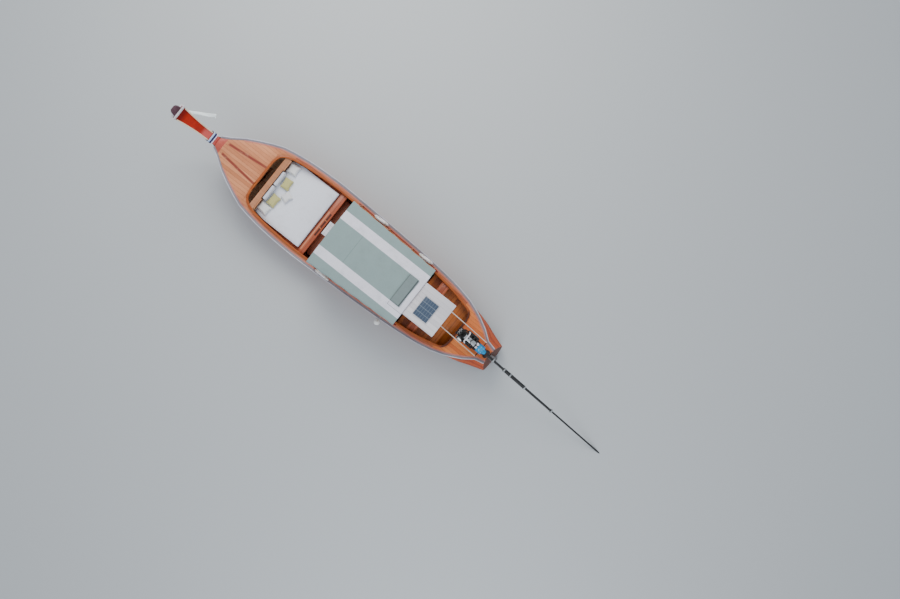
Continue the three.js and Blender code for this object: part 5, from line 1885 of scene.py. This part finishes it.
@dataclass
class SafetyGear:
    """Life rings lashed outside the handrails, and the fender at the port rail.

    Attributes:
        yard: The shared nodes, slots and finishes.
        rings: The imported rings.
        radius: From a ring's middle to its tube's.
        tube: Half its tube's thickness.
        rope: Half the grab line's thickness.
        sag: How far the grab line hangs free between two straps.
        neck: Half the thickness of the fender's neck.
        line: The lanyard's points from the eye to the deck: out from the deck's edge and up.
    """

    yard: Yard
    rings: tuple[str, ...] = ("life_ring_port", "life_ring_fore", "life_ring_aft")
    radius: float = 0.25
    tube: float = 0.046
    rope: float = 0.007
    sag: float = 0.016
    neck: float = 0.024
    line: tuple[tuple[float, float], ...] = (
        (0.115, 0.02), (0.09, 0.015), (0.04, 0.004), (-0.06, 0.008),
    )

    def build(self) -> None:
        """Builds the rings and the fender."""
        for node in self.rings:
            self.ring(node)
        self.fender()

    def ring(self, node: str) -> None:
        """Builds one ring with its four straps and its grab line.

        Args:
            node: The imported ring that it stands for.
        """
        corners = [v.co for v in self.yard.nodes[node].data.vertices]
        middle = sum(corners, Vector()) / len(corners)
        top = max(corners, key=lambda c: c.z)
        upward = Vector((0, top.y - middle.y, top.z - middle.z)).normalized()
        ahead = Vector(AHEAD)
        axes = (ahead, upward, ahead.cross(upward).normalized())
        place = at(*middle) @ Matrix(axes).transposed().to_4x4()
        body = hoop(f"{node}_body", (0, 0, 0), self.radius, self.tube - 0.001, UPWARD, 56, 20)
        body.data.transform(place)
        self.yard.launch(body, "ring_plastic", "ring_plastic", node)
        strap = hoop("strap", (0, 0, 0), self.tube + 0.001, 0.0035, ACROSS, 28)
        with editing(strap):
            bpy.ops.transform.resize(value=(1, 9, 1))
        quarters = [place @ turn(45 + 90 * n, "Z") @ at(self.radius, 0, 0) for n in range(4)]
        straps = joined(f"{node}_straps", copies(strap, quarters))
        self.yard.launch(straps, "pale_rope", "ring_plastic")
        self.yard.launch(self.grab_line(node, place), "pale_rope", "ring_plastic")

    def grab_line(self, node: str, place: Matrix, steps: int = 80) -> Thing:
        """Runs a ring's grab line round it, under its straps.

        Args:
            node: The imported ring.
            place: The ring's transform.
            steps: How many points the line runs through.

        Returns:
            The line.
        """
        points = []
        for n in range(steps + 1):
            run = math.tau * n / steps
            angle = math.radians(45) + run
            reach = self.radius + self.tube + 0.004 + self.sag * math.sin(2 * run) ** 2
            spot = Vector((reach * math.cos(angle), reach * math.sin(angle), 0.0))
            points.append(tuple(place @ spot))
        return pipe(f"{node}_grab_line", points, self.rope, 2)

    def fender(self) -> None:
        """Hangs the ball fender from the rail by its eye and lanyard."""
        low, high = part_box("fender")
        x, y, _ = (low + high) / 2
        radius, top = (high.x - low.x) / 2, high.z - 0.002
        bpy.ops.mesh.primitive_uv_sphere_add(
            segments=48, ring_count=28, radius=radius - 0.001, location=(x, y, low.z + radius))
        ball = smoothed(settle(bpy.context.object, "fender_ball"))
        neck = rod("fender_neck", (x, y, low.z + radius * 1.94), (x, y, top), self.neck, 24, 0.004)
        eye = hoop("fender_eye", (x, y, high.z - 0.006), 0.016, 0.006, AHEAD, 24)
        body = joined("fender_body", [ball, neck, eye])
        self.yard.launch(body, "fender_plastic", "ring_plastic", "fender")
        _, edge, deck = HullLines(self.yard).at(x)
        points = [(x, y, top), *[(x, edge + out, deck + up) for out, up in self.line]]
        self.yard.launch(pipe("fender_lanyard", points, 0.006, 2), "pale_rope", "ring_plastic")


@dataclass(frozen=True)
class Block:
    """A box of the engine, in its own axes: x forward along the shaft line, z up."""

    low: Point
    high: Point
    width: float

    def made(self) -> Thing:
        """Makes the box."""
        return box("block", self.low, self.high, self.width)


@dataclass(frozen=True)
class Bar:
    """A round bar of the engine: its ends, half-thickness, faces round it and eased edge."""

    start: Point
    end: Point
    radius: float
    sides: int
    width: float

    def made(self) -> Thing:
        """Makes the bar."""
        return rod("bar", self.start, self.end, self.radius, self.sides, self.width)


@dataclass(frozen=True)
class Rim:
    """A ring of the engine: its middle, radius, half-thickness, faces along it and axis."""

    place: Point
    radius: float
    thick: float
    sides: int = 40
    axis: Point = AHEAD

    def made(self) -> Thing:
        """Makes the ring."""
        return hoop("rim", self.place, self.radius, self.thick, self.axis, self.sides)


@dataclass(frozen=True)
class Hose:
    """A hose, pipe or belt of the engine: its points, half-thickness and roundness."""

    points: tuple[Point, ...]
    radius: float
    quarter: int = 2
    bends: bool = True

    def made(self) -> Thing:
        """Makes the hose."""
        return pipe("hose", self.points, self.radius, self.quarter, self.bends)


@dataclass(frozen=True)
class Row:
    """One part of the engine, copied to several places."""

    part: Block | Bar
    places: tuple[Matrix, ...]

    def made(self) -> Thing:
        """Makes the part and its copies."""
        return joined("row", copies(self.part.made(), self.places))


@dataclass(frozen=True)
class Fitting:
    """One small piece of the engine, joined from its parts.

    Attributes:
        name: The piece's name.
        finish: The name of its finish.
        slot: The record's material slot.
        parts: What it is made of.
    """

    name: str
    finish: str
    slot: str
    parts: tuple[Block | Bar | Rim | Hose | Row, ...]


def belt_line(x: float, steps: int = 8) -> tuple[Point, ...]:
    """Lays the fan belt round its three pulleys.

    Args:
        x: The belt's place along the engine.
        steps: How many straight runs it has on each pulley.

    Returns:
        Its points, the first one again at the end.
    """
    arcs = (((0, -0.04), 0.1, 150, 320), ((0.195, 0.06), 0.043, -35, 95), ((0, 0.095), 0.068, 80, 190))
    points = []
    for (y, z), radius, start, end in arcs:
        for n in range(steps + 1):
            angle = math.radians(start + (end - start) * n / steps)
            points.append((x, y + radius * math.cos(angle), z + radius * math.sin(angle)))
    return (*points, points[0])


PORTS = (0.66, 0.79, 0.92, 1.05)  # the cylinders' places along the engine

FITTINGS = (
    Fitting("rocker_cover", "bright_alloy", "bright_metal", (
        Block((0.66, -0.078, 0.262), (1.13, 0.078, 0.334), 0.014),
        Row(Block((0.0, -0.06, 0.332), (0.012, 0.06, 0.34), 0.002),
            tuple(at(0.7 + 0.05 * n, 0, 0) for n in range(5))),
    )),
    Fitting("cover_nuts", "galvanised", "bright_metal", (
        Row(Bar((0, 0, 0), (0, 0, 0.012), 0.009, 6, 0.001),
            tuple(at(x, y, 0.272) for x in (0.68, 0.8, 0.92, 1.04, 1.12) for y in (-0.088, 0.088))),
    )),
    Fitting("filler_cap", "black_rubber", "engine_metal", (
        Bar((1.0, -0.03, 0.33), (1.0, -0.03, 0.362), 0.03, 12, 0.004),
    )),
    Fitting("manifold", "black_casting", "engine_metal", (
        *(Bar((x, -0.07, 0.222), (x, -0.215, 0.176), 0.034, 20, 0.004) for x in PORTS),
        Bar((0.62, -0.207, 0.176), (1.1, -0.207, 0.176), 0.046, 28, 0.01),
        Row(Block((-0.045, -0.012, -0.045), (0.045, 0.012, 0.045), 0.006),
            tuple(at(x, -0.1, 0.212) for x in PORTS)),
    )),
    Fitting("oil_filters", "white_enamel", "bright_metal", (
        Bar((0.575, -0.07, 0.16), (0.575, -0.07, 0.3), 0.05, 28, 0.01),
        Bar((0.565, 0.045, 0.16), (0.565, 0.045, 0.29), 0.045, 28, 0.01),
    )),
    Fitting("air_cleaner_lid", "galvanised", "bright_metal", (
        Bar((0.79, -0.01, 0.421), (0.79, -0.01, 0.432), 0.082, 48, 0.005),
        Bar((0.79, -0.01, 0.43), (0.79, -0.01, 0.451), 0.012, 12, 0.002),
        Block((0.76, -0.014, 0.437), (0.82, -0.006, 0.455), 0.003),
    )),
    Fitting("cooling_fan", "galvanised", "bright_metal", (
        Bar((1.3, 0, 0.095), (1.345, 0, 0.095), 0.034, 24, 0.005),
        Row(Block((-0.004, 0.02, -0.035), (0.004, 0.118, 0.035), 0.002),
            tuple(at(1.322, 0, 0.095) @ turn(60 * n, "X") @ turn(28.648, "Y") for n in range(6))),
    )),
    Fitting("pulley_rims", "galvanised", "bright_metal", (
        Rim((1.262, 0, -0.04), 0.094, 0.009),
        Rim((1.278, 0, -0.04), 0.09, 0.006),
        Rim((1.262, 0, 0.095), 0.062, 0.008, 32),
        Bar((1.245, 0.195, 0.06), (1.28, 0.195, 0.06), 0.038, 28, 0.004),
    )),
    Fitting("fan_belt", "black_rubber", "engine_metal", (Hose(belt_line(1.262), 0.007, bends=False),)),
    Fitting("alternator", "bright_alloy", "bright_metal", (
        Bar((1.06, 0.195, 0.06), (1.235, 0.195, 0.06), 0.072, 32, 0.012),
        Row(Block((0.0, -0.004, 0.064), (0.04, 0.004, 0.075), 0.002),
            tuple(at(1.08 + 0.07 * (n % 2), 0.195, 0.06) @ turn(22.5 * n, "X") for n in range(16))),
    )),
    Fitting("starter_motor", "galvanised", "bright_metal", (
        Bar((0.63, -0.19, 0.02), (0.88, -0.19, 0.02), 0.055, 28, 0.01),
        Bar((0.68, -0.235, 0.07), (0.82, -0.235, 0.07), 0.026, 20, 0.006),
    )),
    Fitting("flange_bolts", "bright_alloy", "bright_metal", (
        Row(Bar((0, 0, 0), (-0.014, 0, 0), 0.011, 6, 0.0015), tuple(
            at(0.496, 0.15 * math.cos(angle), 0.055 + 0.15 * math.sin(angle))
            for angle in (math.tau * n / 12 for n in range(12)) if math.sin(angle) > -0.85)),
    )),
    Fitting("case_ribs", "blue_enamel", "blue_paint", (
        Row(Block((0.22, -0.005, 0.1), (0.49, 0.005, 0.165), 0.003),
            tuple(at(0, 0, 0.055) @ turn(angle, "X") for angle in (-75, -40, 40, 75))),
    )),
    Fitting("shift_cover", "blue_enamel", "blue_paint", (
        Block((0.27, -0.09, 0.188), (0.4, 0.09, 0.202), 0.005),
    )),
    Fitting("cap_bolts", "bright_alloy", "bright_metal", (
        Row(Bar((0, 0, 0.2), (0, 0, 0.212), 0.012, 6, 0.001),
            tuple(at(x, y, 0) for x in (0.285, 0.385) for y in (-0.075, 0, 0.075))),
    )),
    Fitting("gear_lever", "galvanised", "bright_metal", (
        Hose(((0.335, 0.03, 0.2), (0.34, 0.032, 0.26), (0.4, 0.034, 0.34), (0.47, 0.036, 0.39)), 0.007),
        Rim((0.475, 0.036, 0.393), 0.008, 0.012, 16, (1, 0, 1)),
    )),
    Fitting("engine_hoses", "black_rubber", "engine_metal", (
        Hose((
            (1.22, 0.08, 0.2), (1.2, 0.15, 0.26), (1.1, 0.2, 0.27), (0.95, 0.21, 0.2),
            (0.82, 0.17, 0.12),
        ), 0.022, 3),
        Hose((
            (1.2, -0.12, -0.06), (1.15, -0.19, -0.08), (1.02, -0.2, -0.03), (0.95, -0.16, 0.04),
        ), 0.02, 3),
        Hose(((0.62, 0.14, 0.1), (0.7, 0.165, 0.14), (0.85, 0.16, 0.17), (1.0, 0.15, 0.12)), 0.007),
    )),
    Fitting("fuel_pump", "bright_alloy", "bright_metal", (
        Block((0.8, 0.13, -0.02), (1.0, 0.2, 0.09), 0.01),
        *(Hose((
            (0.83 + 0.045 * n, 0.175, 0.09), (0.82 + 0.05 * n, 0.19, 0.16),
            (0.72 + 0.11 * n, 0.12, 0.24), (0.72 + 0.11 * n, 0.085, 0.27),
        ), 0.004, 1) for n in range(4)),
    )),
)


@dataclass
class EngineUnit:
    """The open engine with its gearbox, cradle, handle, tail and propeller.

    Attributes:
        yard: The shared nodes, slots and finishes.
        castings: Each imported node, its finish, the width of its eased edges and faces across them.
        pin: Where the engine's own axes start, in the boat.
        swing: How far the engine is turned about the upright pin.
        slope: How far its shaft line dips.
        bands: Where the clamps lie along the tail.
        band: Half a clamp's length and its radius.
        grip: The handle's half-width, from which the cradle's own arms are told.
        handle_end: How far the handle reaches, its half-width and its height there.
        corner: Size of the handle's rounded corners.
        hub: The propeller hub's forward end and radius.
        hub_length: Length of the hub and of its tapered nose.
        blade_reach: Where a blade starts and ends, from the shaft line.
        blade_size: Its width and thickness.
        blade_twist: How far it twists from root to tip.
        blade_pitch: How far its middle is turned from the shaft line.
    """

    yard: Yard
    castings: tuple[tuple[str, str, float, int], ...] = (
        ("engine_pedestal", "grey_paint", 0.006, 2),
        ("swivel_yoke", "dark_steel", 0.003, 2),
        ("gearbox", "blue_enamel", 0.008, 3),
        ("engine_block", "black_casting", 0.006, 2),
        ("air_cleaner", "black_casting", 0.012, 3),
        ("exhaust_pipe", "white_enamel", 0.0, 2),
        ("tail_tube", "black_enamel", 0.004, 2),
    )
    pin: Point = (-6.19, 0.0, 1.5)
    swing: float = -3.2
    slope: float = 15.0
    bands: tuple[float, ...] = (-0.33, -0.88, -1.18, -1.9, -3.3)
    band: tuple[float, float] = (0.0225, 0.0748)
    grip: float = 0.31
    handle_end: Point = (1.88, 0.31, -0.4)
    corner: float = 0.06
    hub: tuple[float, float] = (-6.3305, 0.032)
    hub_length: tuple[float, float] = (0.09, 0.03)
    blade_reach: tuple[float, float] = (0.012, 0.165)
    blade_size: tuple[float, float] = (0.116, 0.009)
    blade_twist: float = 38.0
    blade_pitch: float = 25.0

    def matrix(self) -> Matrix:
        """Turns the engine's own axes, x forward along the shaft line, into the boat's."""
        return at(*self.pin) @ turn(self.swing, "Z") @ turn(-self.slope, "Y")

    def place(self, piece: Thing, finish: str, slot: str) -> Thing:
        """Sets a piece modelled in the engine's axes into the boat and dresses it."""
        piece.data.transform(self.matrix())
        return self.yard.launch(piece, finish, slot, body="engine_unit")

    def build(self) -> None:
        """Builds the whole unit."""
        dressed = {casting[0]: self.yard.dress(*casting) for casting in self.castings}
        # The gearbox's faces that don't face up take the darker blue as painted shade; its top keeps
        # the bright blue.
        self.yard.paints.recoat(dressed["gearbox"], "oiled_blue", lambda _, normal: normal.z < 0.45)
        self.cradle()
        self.handle()
        self.propeller()
        for fitting in FITTINGS:
            piece = joined(fitting.name, [part.made() for part in fitting.parts])
            self.place(piece, fitting.finish, fitting.slot)
        self.clamps()

    def cradle(self) -> None:
        """Dresses the cradle in dark steel, without the handle's arms, and closes the cut ends."""
        back = self.matrix().inverted()

        def on_handle(centre: Vector, _: Vector) -> bool:
            """Picks the faces of the handle's arms and crossbar."""
            spot = back @ centre
            return abs(spot.y) > self.grip - 0.03 or spot.x > 1.4

        steel = self.yard.copy("engine_cradle")
        with editing(steel, on_handle):
            bpy.ops.mesh.delete(type="FACE")
        with editing(steel):
            bpy.ops.mesh.select_all(action="DESELECT")
            bpy.ops.mesh.select_mode(type="EDGE")
            bpy.ops.mesh.select_non_manifold()
            bpy.ops.mesh.edge_face_add()
            bpy.ops.mesh.select_mode(type="FACE")
        self.yard.stand_in(ease(steel, 0.003), "dark_steel", "engine_cradle")

    def handle(self) -> None:
        """Bends the helmsman's handle, in cream, and puts rubber grips on it."""
        reach, half, drop = self.handle_end
        bend = self.corner
        arm = (
            (0.24, half, -0.106), (0.6, half, -0.172), (reach - bend * 2, half, drop + 0.022),
            (reach - bend * 0.6, half, drop + 0.01), (reach, half - bend * 0.5, drop),
            (reach, half - bend * 1.8, drop),
        )
        points = [*[(x, -y, z) for x, y, z in arm], *reversed(arm)]
        self.place(pipe("steering_handle", points, 0.0175, 4), "cream_enamel", "dark_steel")
        grips = []
        for side in Side:
            start, end = ((reach, side.value * y, drop) for y in (0.06, 0.22))
            grips.append(rod(f"grip_{side.word}", start, end, 0.023, 20, 0.004))
        self.place(joined("handle_grips", grips), "black_rubber", "dark_steel")

    def propeller(self) -> None:
        """Builds the propeller: a hub with a tapered nose and two rounded, twisted blades."""
        start, radius = self.hub
        body, nose = self.hub_length
        end = start - body
        hub = rod("hub", (start, 0, 0), (end, 0, 0), radius, 40, 0)
        with editing(hub, lambda _, normal: normal.x < -0.9):
            bpy.ops.mesh.extrude_region_move(TRANSFORM_OT_translate={"value": (-nose, 0, 0)})
            bpy.ops.transform.resize(value=(1, 0.45, 0.45), center_override=(end - nose, 0, 0))
        ease(hub, 0.003)
        root, tip = self.blade_reach
        width, thick = self.blade_size
        bpy.ops.mesh.primitive_uv_sphere_add(
            segments=40, ring_count=24, radius=1, location=(0, 0, (root + tip) / 2))
        blade = bpy.context.object
        blade.scale = (width / 2, thick / 2, (tip - root) / 2)
        settle(blade, "blade")
        modify(blade, "SIMPLE_DEFORM", deform_method="TWIST", deform_axis="Z",
               angle=math.radians(self.blade_twist))
        smoothed(blade)
        middle = start - 0.6 * body
        turns = [at(middle, 0, 0) @ turn(180 * n, "X") @ turn(self.blade_pitch, "Z") for n in range(2)]
        piece = joined("propeller_wheel", [hub, *copies(blade, turns)])
        piece.data.transform(self.matrix())
        self.yard.launch(piece, "bronze", "bronze", "propeller", body="propeller")

    def clamps(self) -> None:
        """Puts bright clamp bands and their bolts on the tail."""
        half, radius = self.band
        rings = []
        for x in self.bands:
            rings += [
                rod("clamp", (x - half, 0, 0), (x + half, 0, 0), radius, 36, 0.002),
                box("ear", (x - 0.018, -0.012, radius - 0.004), (x + 0.018, 0.012, radius + 0.02),
                    0.003),
                rod("ear_bolt", (x, -0.02, radius + 0.01), (x, 0.02, radius + 0.01), 0.006, 10, 0.001),
            ]
        self.place(joined("tail_clamps", rings), "galvanised", "black_tube")


@dataclass(frozen=True)
class Lamp:
    """One soft lamp: its name, place, size, power and tint."""

    name: str
    place: Point
    size: float
    power: float
    tint: Point


@dataclass
class Studio:
    """The pale floor at the waterline, soft light and the camera straight overhead.

    Attributes:
        eye: The camera's place.
        right: The direction that lies to the right in the picture.
        lens: Focal length in millimetres.
        sensor: Width of the sensor in millimetres.
        sight: How far the camera sees.
        floor: Colour of the floor.
        floor_size: Length of its sides.
        lamps: A broad key and a weaker fill.
        aim: Where the lamps point.
        sky: Colour of the sky.
        sky_strength: Its strength.
    """

    eye: Point = (-4.0, -0.716, 26.0)
    right: Point = (-0.784, -0.621, 0.0)
    lens: float = 28.0
    sensor: float = 36.0
    sight: float = 400.0
    floor: Colour = (186, 190, 192)
    floor_size: float = 500.0
    lamps: tuple[Lamp, ...] = (
        Lamp("key", (9.0, -12.0, 17.0), 13.0, 3900.0, (1.0, 0.97, 0.92)),
        Lamp("fill", (-14.0, 13.0, 14.0), 14.0, 1500.0, (0.93, 0.96, 1.0)),
    )
    aim: Point = (-2.0, 0.0, 0.5)
    sky: Point = (0.86, 0.92, 1.0)
    sky_strength: float = 0.86

    def build(self) -> None:
        """Sets the floor, the lights and the camera."""
        self.ground()
        self.lights()
        self.camera()

    def camera(self) -> None:
        """Places the camera above the boat, looking straight down."""
        bpy.ops.object.camera_add(location=self.eye)
        camera = bpy.context.object
        right, back = Vector(self.right).normalized(), Vector(UPWARD)
        axes = Matrix((right, back.cross(right), back)).transposed()
        camera.matrix_world = at(*self.eye) @ axes.to_4x4()
        camera.data.lens = self.lens
        camera.data.sensor_width = self.sensor
        camera.data.clip_end = self.sight
        bpy.context.scene.camera = camera

    def ground(self) -> None:
        """Lays the pale floor level with the waterline."""
        bpy.ops.mesh.primitive_plane_add(size=self.floor_size)
        plane = settle(bpy.context.object, "studio_floor")
        material = bpy.data.materials.new("studio_floor")
        material.use_nodes = True
        shader = material.node_tree.nodes["Principled BSDF"]
        shader.inputs["Base Color"].default_value = linear(self.floor)
        shader.inputs["Roughness"].default_value = 0.9
        plane.data.materials.append(material)

    def lights(self) -> None:
        """Hangs the lamps under an even sky."""
        for row in self.lamps:
            bpy.ops.object.light_add(type="AREA", location=row.place)
            lamp = bpy.context.object
            lamp.name = row.name
            lamp.data.size = row.size
            lamp.data.energy = row.power
            lamp.data.color = row.tint
            way = Vector(row.place) - Vector(self.aim)
            lamp.rotation_euler = way.to_track_quat("Z", "Y").to_euler()
        world = bpy.data.worlds.new("even_sky")
        world.use_nodes = True
        sky = world.node_tree.nodes["Background"].inputs
        sky["Color"].default_value = (*self.sky, 1)
        sky["Strength"].default_value = self.sky_strength
        bpy.context.scene.world = world


def main() -> None:
    """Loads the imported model, builds every sub-assembly and sets the studio."""
    logging.basicConfig(level=logging.INFO, format="%(message)s")
    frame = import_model()
    bpy.ops.object.select_all(action="DESELECT")
    slots = {row["node"]: row["material_slot"] for row in frame["record"]["subparts"]}
    yard = Yard(frame["nodes"], slots, Paintbox())
    Studio().build()
    for assembly in (Hull, Prow, Sunbed, Awning, SafetyGear, EngineUnit):
        log.info("building %s", assembly.__name__)
        assembly(yard).build()


if __name__ == "__main__":
    main()
